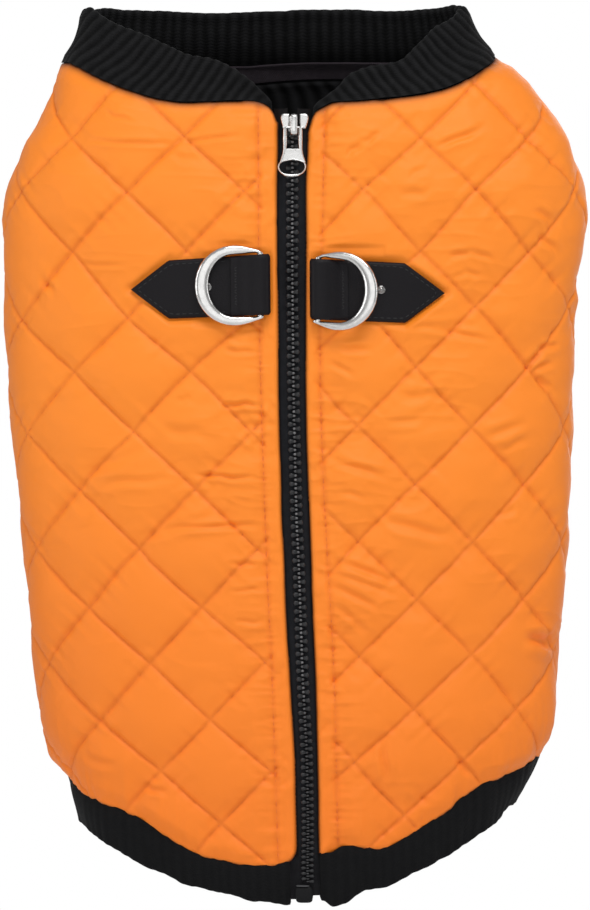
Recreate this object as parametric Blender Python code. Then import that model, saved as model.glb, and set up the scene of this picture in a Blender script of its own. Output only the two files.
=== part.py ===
"""A dog's quilted winter vest, filled out as it is worn, with the neck up and the back zip facing -Y.

The form is a stack of flattened oval sections. A place on it is an arc length from the zip's
centreline (or from the middle of the belly), a height, and a distance out from the cloth.
"""

import math

import bmesh
import bpy
import numpy as np
from mathutils import Vector
from mathutils.geometry import delaunay_2d_cdt

# All sizes are in millimetres, and turned into metres when a mesh is made.
MM = 0.001
GAP = 0.3
WALL = 2.0
FRONT_SQUARENESS = 2.5
BELLY_SQUARENESS = 2.3
SECTION_STEPS = 720

# The form: one row for each height, with the reach to each side and the depth to zip and belly.
FORM = [
    # height, left, right, zip_side, belly_side
    (30, -86, 72, 31, 32),
    (0, -94.5, 84, 38, 39),
    (-12, -97, 97, 41, 43),
    (-26, -103, 107, 44, 46),
    (-36, -109, 112.3, 45.6, 47.5),
    (-52, -114.5, 117.2, 47.4, 49),
    (-66, -117, 118.8, 48, 50),
    (-90, -116.5, 115.5, 48, 51),
    (-118, -116, 113.5, 48, 51.5),
    (-160, -112.5, 112.5, 48, 51),
    (-205, -108, 110, 47.5, 50),
    (-245, -104.5, 106.5, 47, 48),
    (-270, -101.5, 105.5, 46.5, 46.5),
    (-282, -98, 101.5, 46, 45.5),
    (-294, -91.5, 96, 45.5, 44.5),
    (-311, -88, 90, 44.5, 43),
    (-350, -84, 85, 41, 40),
]
# The zip's centreline leans a little to the right on its way down.
ZIP_LINE = [(0, -0.3), (-77, -0.2), (-180, 1.6), (-262, 4.1), (-323, 5.3), (-350, 6.2)]
# The neck seam, by arc length from the zip: its height, and how high the collar stands above it.
NECK = [
    # arc, seam_left, seam_right, collar_left, collar_right
    (6.2, -25, -29, 2.4, 2.4),
    (7.5, -21.5, -24.5, 2.5, 2.5),
    (9.5, -18.5, -20.5, 3, 2.7),
    (12.7, -16.8, -18.5, 4.5, 3.2),
    (17, -16, -16.6, 7.8, 4.5),
    (24, -16, -16.3, 13, 10.9),
    (33, -16.4, -15.6, 17.4, 13.5),
    (44, -16.6, -14.5, 19.3, 14.1),
    (55, -15.2, -12.9, 22.6, 20.5),
    (65, -12.4, -10.2, 24, 24.9),
    (74, -9.2, -6.4, 23.5, 24.4),
    (83, -5.6, -2.6, 23, 23.5),
    (92, -1.8, -0.6, 22.6, 23),
    (100, 0, 0, 22.6, 22.6),
    (150, 0, 0, 21.1, 21.1),
    (215, 0, 0, 20.5, 20.5),
]
# The hem seam, by arc length from the zip: its height, and how deep the band below it is.
HEM = [
    # arc, seam_left, seam_right, band_left, band_right
    (6.2, -326, -322, 18.5, 19),
    (10, -329, -323, 15, 22.5),
    (20, -330, -321.8, 13.4, 19.5),
    (30, -328.4, -323, 13.4, 15),
    (45, -325, -316, 13, 16),
    (58, -317.4, -308, 16, 17.5),
    (72, -309.1, -298, 18.2, 20),
    (85, -304.6, -293.3, 16, 18.5),
    (96, -300.8, -290.2, 15, 15.8),
    (115, -295, -284.5, 16, 16.5),
    (150, -277, -269, 18, 18),
    (185, -254, -251, 18, 18),
    (212, -241, -240, 18, 18),
    (240, -238, -238, 18, 18),
]
# The side seam's arc length from the middle of the belly, by height.
SIDE_SEAM = [(0, 82), (-28, 99), (-46, 105), (-140, 105), (-200, 99), (-300, 88)]

LEG_HOLE_HEIGHT = -91
LEG_HOLE_ARC = 105
LEG_HOLE_HALF_WIDE = 31
LEG_HOLE_HALF_TALL = 35
BINDING_WIDE = 7
BINDING_RIBS = 34

# Quilting: squares set on their points, by their half diagonals, raised between the seams.
QUILT_HALF_WIDE = 24.6
QUILT_HALF_TALL = 23.4
QUILT_RISE = 2.3
QUILT_TOP = -31
QUILT_CELLS = 3
QUILT_START = {-1: 43.8, 1: 51.0}
QUILT_DRIFT = {-1: 0.042, 1: 0.038}
EDGE_STEP = 8.0
CORNER_ARC = 22.0
INNER_STEP_WIDE = 13.0
INNER_STEP_TALL = 14.0
PLACKET = 14.5

ZIP_EDGE = 6.15
RIB_PITCH = 4.8
COLLAR_LEAN_LEFT = math.radians(24)
COLLAR_LEAN_RIGHT = math.radians(33)
COLLAR_THICK = 3.4
COLLAR_START = 8.2
COLLAR_RIB = 0.45
HEM_START = 6.6
HEM_THICK = 2.6
HEM_RIB = 0.3

TAPE_STRIP_TALL = 8.2
LINING_BOTTOM = -34
LINING_RIB_PITCH = 6.6

ZIP_TOP = -19.5
ZIP_BOTTOM = -337
CHAIN_TOP = -27.0
CHAIN_HALF = 2.75
PULL_HEIGHT = -28.2
PULL_OUT = 4.7

TAB_THICK = 1.5
STRAP_HALF = 12.4
# One row for each tab: its side, the strap end's arc and height, and the rivet's place along it.
TABS = {
    "left": {"side": -1, "end": 10.1, "height": -91.1, "tip_drop": -1.6, "rivet": 24.0, "lift": 1.5},
    "right": {"side": 1, "end": 7.3, "height": -92.7, "tip_drop": -2.0, "rivet": 30.2, "lift": 14},
}
TAB_SHOULDER = 40.5
TAB_TIP = 55.2
STITCH_AT = 13.0
RING_DEEP = 26.2
RING_HALF_TALL = 16.2
RING_BAR = 1.25
RING_BAND = 5.0
RING_THICK = 3.0
RIVET_RADIUS = 1.7

ORANGE = (0.95, 0.29, 0.03)
BLACK_KNIT = (0.012, 0.012, 0.013)
BLACK_TAPE = (0.02, 0.02, 0.022)
CHARCOAL = (0.024, 0.02, 0.023)
GREY_PURPLE = (0.035, 0.028, 0.034)
NICKEL = (0.62, 0.61, 0.6)


def clear_scene():
    for thing in list(bpy.data.objects):
        bpy.data.objects.remove(thing)


def material(name, colour, roughness, metallic=0.0):
    made = bpy.data.materials.new(name)
    made.use_nodes = True
    shader = made.node_tree.nodes["Principled BSDF"]
    shader.inputs["Base Color"].default_value = (*colour, 1)
    shader.inputs["Roughness"].default_value = roughness
    shader.inputs["Metallic"].default_value = metallic
    return made


def smooth_curve(at, table, column):
    """A cubic through a table's rows that doesn't overshoot them."""
    rows = sorted(table)
    x = np.array([row[0] for row in rows], float)
    y = np.array([row[column] for row in rows], float)
    step = np.diff(x)
    rise = np.diff(y) / step
    slope = np.concatenate([[rise[0]], np.zeros(len(x) - 2), [rise[-1]]])
    same_way = rise[:-1] * rise[1:] > 0
    mean = 2 * rise[:-1] * rise[1:] / np.where(same_way, rise[:-1] + rise[1:], 1)
    slope[1:-1] = np.where(same_way, mean, 0)
    at = np.clip(np.asarray(at, float), x[0], x[-1])
    k = np.clip(np.searchsorted(x, at) - 1, 0, len(x) - 2)
    t = (at - x[k]) / step[k]
    start = y[k] + t * t * (3 - 2 * t) * (y[k + 1] - y[k])
    bend = t * (1 - t) ** 2 * slope[k] - t * t * (1 - t) * slope[k + 1]
    return start + step[k] * bend


def sections(height):
    """The points and the arc lengths of the section at each height, from the belly round the left."""
    height = np.asarray(height, float)[:, None]
    left, right, zip_side, belly_side = (smooth_curve(height, FORM, k) for k in (1, 2, 3, 4))
    turn = np.linspace(0, 2 * math.pi, SECTION_STEPS + 1)[None, :]
    towards_belly = np.cos(turn)
    squareness = np.where(towards_belly > 0, BELLY_SQUARENESS, FRONT_SQUARENESS)
    sideways = np.sign(np.sin(turn)) * np.abs(np.sin(turn)) ** (2 / squareness)
    forwards = np.sign(towards_belly) * np.abs(towards_belly) ** (2 / squareness)
    x = (left + right) / 2 - (right - left) / 2 * sideways
    y = np.where(towards_belly > 0, belly_side, zip_side) * forwards
    steps = np.hypot(np.diff(x, axis=1), np.diff(y, axis=1))
    arc = np.concatenate([np.zeros((len(height), 1)), np.cumsum(steps, axis=1)], axis=1)
    return x, y, arc


class Form:
    """The coat's sections at every millimetre of height, with their points spread evenly."""

    def __init__(self):
        self.low = FORM[-1][0]
        self.levels = np.arange(self.low, FORM[0][0] + 1, 1.0)
        x, y, arc = sections(self.levels)
        self.girths = arc[:, -1]
        share = np.linspace(0, 1, SECTION_STEPS + 1)
        self.x = np.array([np.interp(share * row[-1], row, px) for row, px in zip(arc, x)])
        self.y = np.array([np.interp(share * row[-1], row, py) for row, py in zip(arc, y)])
        first, last = SECTION_STEPS // 4, 3 * SECTION_STEPS // 4
        middle = smooth_curve(self.levels, ZIP_LINE, 1)
        self.zip_arcs = np.array(
            [
                np.interp(target, px[first:last], row[first:last])
                for target, px, row in zip(middle, x, arc)
            ]
        )

    def girth(self, height):
        return np.interp(height, self.levels, self.girths)

    def zip_arc(self, height):
        """The arc length from the belly's middle, round the left side, to the zip's centreline."""
        return np.interp(height, self.levels, self.zip_arcs)

    def point(self, share, height):
        """The points at a share of the way round, read between the nearest sections and steps."""
        at = np.clip(height - self.low, 0, len(self.levels) - 1.001)
        level, above = at.astype(int), (at % 1)[:, None]
        round_it = np.mod(share, 1) * SECTION_STEPS
        step, after = round_it.astype(int) % SECTION_STEPS, (round_it % 1)[:, None]

        def read(k):
            both = [np.stack([self.x[k, j], self.y[k, j]], axis=1) for j in (step, step + 1)]
            return both[0] * (1 - after) + both[1] * after

        flat = read(level) * (1 - above) + read(level + 1) * above
        return np.concatenate([flat, height[:, None]], axis=1)

    def place(self, arc, height, out):
        """Points at an arc length from the belly's middle and a height, moved out along the normal."""
        arc, height, out = (np.array(a, float) for a in np.broadcast_arrays(arc, height, out))
        share, step = arc / self.girth(height), 1.5
        small = step / self.girth(height)
        across = self.point(share + small, height) - self.point(share - small, height)
        upward = self.point(share, height + step) - self.point(share, height - step)
        normal = np.cross(across, upward)
        normal /= np.linalg.norm(normal, axis=1)[:, None]
        return self.point(share, height) + normal * out[:, None]


FORM_SECTIONS = Form()


def from_zip(arc, height, out):
    """Points by their arc length from the zip's centreline, positive to the right."""
    arc, height, out = np.atleast_1d(*np.broadcast_arrays(arc, height, out))
    return FORM_SECTIONS.place(FORM_SECTIONS.zip_arc(height) + arc, height, out)


def from_belly(arc, height, out):
    """Points by their arc length from the belly's middle, positive to the right."""
    arc, height, out = np.atleast_1d(*np.broadcast_arrays(arc, height, out))
    return FORM_SECTIONS.place(FORM_SECTIONS.girth(height) - arc, height, out)


def half_girth(side, height):
    """The arc length from the zip to the belly's middle, round one side."""
    to_zip = FORM_SECTIONS.zip_arc(height)
    return to_zip if side < 0 else FORM_SECTIONS.girth(height) - to_zip


def neck_seam(side, arc):
    return smooth_curve(arc, NECK, 1 if side < 0 else 2)


def collar_rise(side, arc):
    return smooth_curve(arc, NECK, 3 if side < 0 else 4)


def hem_seam(side, arc):
    return smooth_curve(arc, HEM, 1 if side < 0 else 2)


def hem_depth(side, arc):
    return smooth_curve(arc, HEM, 3 if side < 0 else 4)


def new_object(name, points, faces, finish, smooth_angle=None):
    """An object from points in mm, with its faces turned outward."""
    mesh = bpy.data.meshes.new(name)
    mesh.from_pydata([tuple(p * MM) for p in np.asarray(points, float)], [], faces)
    made = bpy.data.objects.new(name, mesh)
    bpy.context.scene.collection.objects.link(made)
    mesh.materials.append(finish)
    body = bmesh.new()
    body.from_mesh(mesh)
    bmesh.ops.recalc_face_normals(body, faces=body.faces)
    body.to_mesh(mesh)
    body.free()
    if smooth_angle is not None:
        mesh.shade_smooth()
        mesh.set_sharp_from_angle(angle=math.radians(smooth_angle))
    return made


def spaced(line, step):
    """The line again, with points about a step apart, and its own ends."""
    line = np.asarray(line, float)
    along = np.concatenate([[0], np.cumsum(np.linalg.norm(np.diff(line, axis=0), axis=1))])
    at = np.linspace(0, along[-1], max(2, round(along[-1] / step) + 1))
    return np.stack([np.interp(at, along, line[:, k]) for k in (0, 1)], axis=1)


def outline_of(stretches):
    """One closed outline from stretches that follow each other, each with its own step."""
    return np.concatenate([spaced(line, step)[:-1] for line, step in stretches])


def distance_to(points, outline):
    """How far each flat point is from a closed outline."""
    start, end = outline, np.roll(outline, -1, axis=0)
    run = end - start
    best = np.full(len(points), np.inf)
    for a, d in zip(start, run):
        t = np.clip(((points - a) @ d) / max(d @ d, 1e-9), 0, 1)
        best = np.minimum(best, np.linalg.norm(points - a - t[:, None] * d, axis=1))
    return best


def inside(points, outline):
    """Whether each flat point lies inside a closed outline."""
    found = np.zeros(len(points), bool)
    for (x1, y1), (x2, y2) in zip(outline, np.roll(outline, -1, axis=0)):
        if y1 == y2:
            continue
        level = (y1 > points[:, 1]) != (y2 > points[:, 1])
        found ^= level & (points[:, 0] < (x2 - x1) * (points[:, 1] - y1) / (y2 - y1) + x1)
    return found


def grid_over(outline, wide, tall, shift, lean, clear):
    """Grid points inside an outline, with their columns and rows. Columns lean with height."""
    low, high = outline.min(axis=0), outline.max(axis=0)
    reach = abs(lean) * (high[1] - low[1]) + wide
    first, last = low[0] - shift - reach, high[0] - shift + reach
    columns = np.arange(math.floor(first / wide), math.ceil(last / wide))
    rows = np.arange(math.floor((low[1] - QUILT_TOP) / tall), math.ceil((high[1] - QUILT_TOP) / tall) + 1)
    column, row = (a.ravel() for a in np.meshgrid(columns, rows))
    height = QUILT_TOP + row * tall
    points = np.stack([shift + column * wide + lean * (height - QUILT_TOP), height], axis=1)
    keep = inside(points, outline)
    keep[keep] = distance_to(points[keep], outline) > clear
    return points[keep], column[keep], row[keep]


def filled_outline(outline, inner, edges):
    """Triangles that fill an outline, through all the points, keeping the given edges."""
    points = np.concatenate([outline, inner])
    rim = [(k, (k + 1) % len(outline)) for k in range(len(outline))]
    made = delaunay_2d_cdt([Vector(p) for p in points], rim + edges, [], 0, 1e-4, True)
    source = np.array([origins[0] for origins in made[3]])
    faces = source[np.array([list(face) for face in made[2]])]
    return faces[inside(points[faces].mean(axis=1), outline)].tolist()


def quilting_edges(column, row, first):
    """The grid's diagonals that lie on the quilting seams."""
    place = {(c, r): first + k for k, (c, r) in enumerate(zip(column, row))}
    whole = 2 * QUILT_CELLS
    edges = []
    for (c, r), k in place.items():
        if (c - r) % whole == 0 and (c + 1, r + 1) in place:
            edges.append((k, place[c + 1, r + 1]))
        if (c + r) % whole == 0 and (c + 1, r - 1) in place:
            edges.append((k, place[c + 1, r - 1]))
    return edges


def quilt_rise(column, row):
    """How far the padding stands out: none on the seams, and most at each square's middle."""
    rise = np.ones(len(column))
    for sum_or_difference in (column + row, column - row):
        off = np.mod(sum_or_difference, 2 * QUILT_CELLS)
        off = np.minimum(off, 2 * QUILT_CELLS - off) / QUILT_CELLS
        rise *= np.sin(off * math.pi / 2)
    return QUILT_RISE * np.sqrt(rise)


def eased(value, start, end):
    t = np.clip((value - start) / (end - start), 0, 1)
    return t * t * (3 - 2 * t)


def tab_clearance(side, points):
    """0 under a tab and 1 well clear of it, so that the padding lies flat beneath it."""
    tab = TABS["left" if side < 0 else "right"]
    along = side * points[:, 0] - tab["end"]
    taper = np.clip((TAB_TIP - along) / (TAB_TIP - TAB_SHOULDER), 0, 1)
    middle = tab["height"] + tab["tip_drop"] * along / TAB_TIP
    beside = np.maximum(np.abs(points[:, 1] - middle) - STRAP_HALF * taper, 0)
    beyond = np.maximum(np.maximum(-along, along - TAB_TIP), 0)
    return eased(np.hypot(beside, beyond), 6, 14)


def panel(name, outline, place, shift, lean, flatten, finish):
    """A quilted wall: its outer points are raised between the seams, its inside is plain."""
    wide, tall = QUILT_HALF_WIDE / QUILT_CELLS, QUILT_HALF_TALL / QUILT_CELLS
    points, column, row = grid_over(outline, wide, tall, shift, lean, 0.5 * wide)
    count = len(outline)
    outer_faces = filled_outline(outline, points, quilting_edges(column, row, count))
    rise = quilt_rise(column, row) * eased(distance_to(points, outline), 0, 7) * flatten(points)
    plain, _, _ = grid_over(outline, INNER_STEP_WIDE, INNER_STEP_TALL, 0, 0, 0.4 * INNER_STEP_WIDE)
    inner_faces = filled_outline(outline, plain, [])
    outer = place(
        np.concatenate([outline[:, 0], points[:, 0]]),
        np.concatenate([outline[:, 1], points[:, 1]]),
        np.concatenate([np.zeros(count), rise]),
    )
    inner = place(
        np.concatenate([outline[:, 0], plain[:, 0]]),
        np.concatenate([outline[:, 1], plain[:, 1]]),
        -WALL,
    )
    first = len(outer)
    faces = outer_faces + [[first + v for v in face[::-1]] for face in inner_faces]
    for k in range(count):
        after = (k + 1) % count
        faces.append([after, k, first + k, first + after])
    return new_object(name, np.concatenate([outer, inner]), faces, finish, 50)


def side_seam(side, height):
    """The side seam's arc length from the zip."""
    return half_girth(side, height) - smooth_curve(height, SIDE_SEAM, 1)


def seam_end(side, edge):
    """Where the side seam crosses the neck seam or the hem seam: arc length and height."""
    arc = 150.0
    for _ in range(40):
        arc = 0.5 * (arc + float(side_seam(side, edge(side, arc))))
    return arc, float(edge(side, arc))


def hem_from_belly(side, arc):
    """The hem seam's height at an arc length from the belly's middle."""
    height = np.full(len(arc), -250.0)
    for _ in range(20):
        height = hem_seam(side, half_girth(side, height) - arc)
    return height


def leg_edge(turns, inwards=0.0):
    """The leg hole's edge: arc length from the belly's middle, and height."""
    wide, tall = LEG_HOLE_HALF_WIDE - inwards, LEG_HOLE_HALF_TALL - inwards
    arc = LEG_HOLE_ARC + wide * np.cos(turns)
    return np.stack([arc, LEG_HOLE_HEIGHT + tall * np.sin(turns)], axis=1)


def body_panel(side, finish):
    """From the zip's edge round to the side seam and the leg hole."""
    half_gap = GAP / 2
    neck_end, neck_height = seam_end(side, neck_seam)
    hem_end, hem_height = seam_end(side, hem_seam)
    hem_arcs = np.linspace(ZIP_EDGE, hem_end - half_gap, 80)
    far_arcs = np.linspace(neck_end - half_gap, CORNER_ARC, 80)
    corner_arcs = np.linspace(CORNER_ARC, ZIP_EDGE, 30)
    hem_line = np.stack([hem_arcs, hem_seam(side, hem_arcs) + half_gap], axis=1)
    neck_line = np.stack([far_arcs, neck_seam(side, far_arcs) - half_gap], axis=1)
    corner = np.stack([corner_arcs, neck_seam(side, corner_arcs) - half_gap], axis=1)
    lower = np.linspace(hem_height + half_gap, LEG_HOLE_HEIGHT - LEG_HOLE_HALF_TALL, 30)
    upper = np.linspace(LEG_HOLE_HEIGHT + LEG_HOLE_HALF_TALL, neck_height - half_gap, 20)
    hole = leg_edge(np.linspace(-0.5 * math.pi, 0.5 * math.pi, 40))
    hole[:, 0] = half_girth(side, hole[:, 1]) - hole[:, 0]
    lower_line = np.stack([side_seam(side, lower) - half_gap, lower], axis=1)
    upper_line = np.stack([side_seam(side, upper) - half_gap, upper], axis=1)
    hole[0], hole[-1] = lower_line[-1], upper_line[0]
    hem_line[-1], neck_line[0] = lower_line[0], upper_line[-1]
    zip_line = np.array([corner[-1], hem_line[0]])
    stretches = [(zip_line, EDGE_STEP), (hem_line, EDGE_STEP), (lower_line, EDGE_STEP), (hole, 6.0),
                 (upper_line, EDGE_STEP), (neck_line, EDGE_STEP), (corner, 2.4)]
    outline = outline_of(stretches) * (side, 1)
    if side < 0:
        outline = outline[::-1]

    def flatten(points):
        beside_zip = 0.45 + 0.55 * eased(np.abs(points[:, 0]), PLACKET - 3, PLACKET + 6)
        return tab_clearance(side, points) * beside_zip

    name = "body_left" if side < 0 else "body_right"
    start, drift = QUILT_START[side], QUILT_DRIFT[side]
    return panel(name, outline, from_zip, side * start, side * drift, flatten, finish)


def belly_panel(finish):
    """Between the side seams, with half of each leg hole cut from its edges."""
    half_gap = GAP / 2
    right, left = [], []
    for side, lines in ((1, right), (-1, left)):
        neck_height = seam_end(side, neck_seam)[1] - half_gap
        hem_height = seam_end(side, hem_seam)[1] + half_gap
        upper = np.linspace(neck_height, LEG_HOLE_HEIGHT + LEG_HOLE_HALF_TALL, 20)
        lower = np.linspace(LEG_HOLE_HEIGHT - LEG_HOLE_HALF_TALL, hem_height, 30)
        hole = leg_edge(np.linspace(0.5 * math.pi, 1.5 * math.pi, 40))
        upper_line = np.stack([smooth_curve(upper, SIDE_SEAM, 1) - half_gap, upper], axis=1)
        lower_line = np.stack([smooth_curve(lower, SIDE_SEAM, 1) - half_gap, lower], axis=1)
        hole[0], hole[-1] = upper_line[-1], lower_line[0]
        arcs = np.linspace(lower_line[-1, 0], 0, 40)
        hem_line = np.stack([arcs, hem_from_belly(side, arcs) + half_gap], axis=1)
        hem_line[0] = lower_line[-1]
        lines += [(upper_line, EDGE_STEP), (hole, 6.0), (lower_line, EDGE_STEP), (hem_line, EDGE_STEP)]
    left = [(line[::-1] * (-1, 1), step) for line, step in left[::-1]]
    left[0][0][0] = right[-1][0][-1]
    top = np.array([left[-1][0][-1], right[0][0][0]])
    outline = outline_of([(top, EDGE_STEP)] + right + left)[::-1]
    return panel("belly_panel", outline, from_belly, 0, 0, lambda points: 1.0, finish)


def rib_places(start, end, pitch):
    """Arc lengths at each rib's ridge and groove."""
    count = 2 * round((end - start) / pitch) + 1
    return np.linspace(start, end, count)


def ring_section_solid(name, rows, finish, smooth_angle=None, closed=False):
    """Joins a solid through sections that all have the same number of points."""
    rows = np.asarray(rows, float)
    count, size = rows.shape[:2]
    faces = []
    for i in range(count if closed else count - 1):
        for j in range(size):
            a, b = i * size, (i + 1) % count * size
            k = (j + 1) % size
            faces.append([a + j, a + k, b + k, b + j])
    if not closed:
        faces.append(list(range(size))[::-1])
        faces.append([(count - 1) * size + j for j in range(size)])
    return new_object(name, rows.reshape(-1, 3), faces, finish, smooth_angle)


def round_the_coat(start, pitch, seam):
    """Places from the zip's right edge, round the belly, to its left edge: side, arc and ridge."""
    right_half = 200.0
    for _ in range(20):
        right_half = float(half_girth(1, seam(1, right_half)))
    left_half = float(half_girth(-1, seam(1, right_half)))
    places = rib_places(start, right_half + left_half - start, pitch)
    side = np.where(places <= right_half, 1, -1)
    arc = np.where(side > 0, places, right_half + left_half - places)
    ridge = np.where(np.arange(len(places)) % 2 == 0, 1.0, -1.0)
    return side, arc, ridge


def collar(finish):
    """A folded band of rib knit, leaning in, that runs down to a point at the zip."""
    side, arc, ridge = round_the_coat(COLLAR_START, RIB_PITCH, neck_seam)
    way_round = np.linspace(0, 1, len(arc))
    lean = COLLAR_LEAN_RIGHT + (COLLAR_LEAN_LEFT - COLLAR_LEAN_RIGHT) * eased(way_round, 0.27, 0.4)
    seam = np.where(side < 0, neck_seam(-1, arc), neck_seam(1, arc))
    rise = np.where(side < 0, collar_rise(-1, arc), collar_rise(1, arc)) / np.cos(lean)
    fade = eased(rise, 3, 12)
    foot = seam + GAP + 0.8 * (1 - eased(arc, 11, 18))
    base = from_zip(side * arc, foot, 0)
    outer_foot = from_zip(side * arc, foot, 0.2)
    inner_foot = from_zip(side * arc, foot, -WALL - 0.2)
    level = from_zip(side * arc, foot, 1) - base
    level[:, 2] = 0
    level /= np.linalg.norm(level, axis=1)[:, None]
    up = np.array([0, 0, 1.0])
    lean = lean[:, None]
    along = up * np.cos(lean) - level * np.sin(lean)
    out = level * np.cos(lean) + up * np.sin(lean)
    knit = (COLLAR_RIB * ridge * fade)[:, None]
    low = np.minimum(4.0, rise * 0.45)[:, None]
    rise = rise[:, None]
    thick = (COLLAR_THICK - 1.0 * (1 - fade))[:, None]
    middle = base - level * (WALL / 2)
    rows = [
        outer_foot,
        middle + along * low + out * (thick / 2 + knit),
        middle + along * (rise - 1.4) + out * (thick / 2 + knit),
        middle + along * rise + out * 0.2,
        middle + along * (rise - 1.4) - out * (thick / 2 + knit),
        middle + along * low - out * (thick / 2 + knit),
        inner_foot,
    ]
    return ring_section_solid("collar", np.stack(rows, axis=1), finish, 35)


def hem_band(finish):
    """A shallow band of rib knit below the hem seam, drawn in a little."""
    side, arc, ridge = round_the_coat(HEM_START, RIB_PITCH * 1.25, hem_seam)
    seam = np.where(side < 0, hem_seam(-1, arc), hem_seam(1, arc)) - GAP
    depth = np.where(side < 0, hem_depth(-1, arc), hem_depth(1, arc))
    knit = HEM_RIB * ridge
    place = side * arc
    rows = [
        from_zip(place, seam, 0.0),
        from_zip(place, seam - 0.3 * depth, 0.3 + knit),
        from_zip(place, seam - depth + 1.2, -0.5 + knit),
        from_zip(place, seam - depth, -1.6),
        from_zip(place, seam - depth + 1.2, -0.5 - HEM_THICK),
        from_zip(place, seam, -WALL),
    ]
    return ring_section_solid("hem_band", np.stack(rows, axis=1), finish, 35)


def leg_binding(side, finish):
    """A ring of rib knit inside the leg hole's edge."""
    count = 2 * BINDING_RIBS
    turns = np.linspace(0, 2 * math.pi, count, endpoint=False)
    knit = 0.35 * np.where(np.arange(count) % 2 == 0, 1.0, -1.0)
    rows = []
    for inwards, out in ((GAP, 0.1), (1.6, 0.7 + knit), (BINDING_WIDE - 1, 0.5 + knit),
                         (BINDING_WIDE, -0.9), (BINDING_WIDE - 1, -2.2), (GAP, -WALL)):
        flat = leg_edge(turns, inwards)
        rows.append(from_belly(side * flat[:, 0], flat[:, 1], out))
    name = "leg_binding_left" if side < 0 else "leg_binding_right"
    return ring_section_solid(name, np.stack(rows, axis=1), finish, 35, closed=True)


def inner_strip(name, half_long, top, bottom, thick, ribs, finish):
    """A strip that lies on the inside of the belly panel, just under the neck seam."""
    pitch = LINING_RIB_PITCH if ribs else 2 * LINING_RIB_PITCH
    arcs = rib_places(-half_long, half_long, pitch)
    ridge = np.where(np.arange(len(arcs)) % 2 == 0, 1.0, -1.0) * (0.3 if ribs else 0)
    near, far = -WALL - 3 * GAP, -WALL - 3 * GAP - thick
    heights = np.linspace(top, bottom, 2 if top - bottom < 12 else 3)
    front = [from_belly(arcs, h, far - ridge) for h in heights]
    back = [from_belly(arcs, h, near) for h in heights[::-1]]
    return ring_section_solid(name, np.stack(front + back, axis=1), finish, 35)


def zip_strip(name, edges, heights, low, high, finish):
    """A strip along the zip, between two arc lengths that may change with height."""
    rows = []
    for h, (start, end) in zip(heights, edges):
        arcs = np.array([start, end, end, start])
        outs = np.array([high, high, low, low])
        rows.append(from_zip(arcs, h, outs))
    return ring_section_solid(name, rows, finish)


def zip_tape(side, finish):
    heights = np.concatenate([[ZIP_TOP, -24, -29], np.linspace(-40, ZIP_BOTTOM, 26)])
    parting = 0.15 + 1.9 * (1 - eased(-heights, 25, 40))
    outside = np.full(len(heights), ZIP_EDGE - GAP)
    edges = [(side * a, side * b) for a, b in zip(parting, outside)]
    name = "zip_tape_left" if side < 0 else "zip_tape_right"
    return zip_strip(name, edges, heights, -1.6, -0.6, finish)


def zip_chain(finish):
    """The meshed teeth as one plain bar on the tapes."""
    rows = []
    for h in np.linspace(CHAIN_TOP, ZIP_BOTTOM, 27):
        arcs = CHAIN_HALF * np.array([-1, 1, 1, 0.65, -0.65, -1])
        outs = np.array([-0.3, -0.3, 1.1, 1.8, 1.8, 1.1])
        rows.append(from_zip(arcs, h, outs))
    return ring_section_solid("zip_chain", rows, finish)


def prism(name, outline, low, high, across="x"):
    """A closed solid from a flat outline. Across x the outline is (y, z); across y it is (x, z)."""
    count = len(outline)
    points = []
    for level in (low, high):
        for a, b in outline:
            points.append((level, a, b) if across == "x" else (a, level, b))
    faces = [list(range(count)), [count + k for k in range(count)][::-1]]
    for k in range(count):
        after = (k + 1) % count
        faces.append([k, after, count + after, count + k])
    return new_object(name, points, faces, bpy.data.materials["helper"])


def round_bar(name, place, radius, half_long, sides=16):
    """A cylinder along x about a point of the (y, z) plane."""
    turns = np.linspace(0, 2 * math.pi, sides, endpoint=False)
    outline = [(place[0] + radius * math.cos(t), place[1] + radius * math.sin(t)) for t in turns]
    return prism(name, outline, -half_long, half_long)


def combine(base, other, operation):
    """Applies a Boolean with another object, which is then removed."""
    step = base.modifiers.new(operation.lower(), "BOOLEAN")
    step.operation = operation
    step.object = other
    step.solver = "EXACT"
    graph = bpy.context.evaluated_depsgraph_get()
    mesh = bpy.data.meshes.new_from_object(base.evaluated_get(graph))
    base.modifiers.clear()
    base.data = mesh
    bpy.data.objects.remove(other)
    return base


def finish_as(thing, finish, bevel=0.0):
    thing.data.materials.clear()
    thing.data.materials.append(finish)
    if bevel:
        edge = thing.modifiers.new("soft_edges", "BEVEL")
        edge.width = bevel * MM
        edge.segments = 1
        edge.limit_method = "ANGLE"
        edge.angle_limit = math.radians(50)
    return thing


def stand_on(thing, arc, height, out=0.0, turn=0.0, upright=False):
    """Places an object whose own -Y points out of the coat and whose Z runs up it."""
    here, further = from_zip(arc, height, np.array([out, out + 1]))
    outward = further - here
    thing.location = Vector(here * MM)
    tilt = 0 if upright else math.asin(outward[2])
    thing.rotation_euler = (-tilt, 0, math.atan2(outward[0], -outward[1]) + turn)
    return thing


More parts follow.
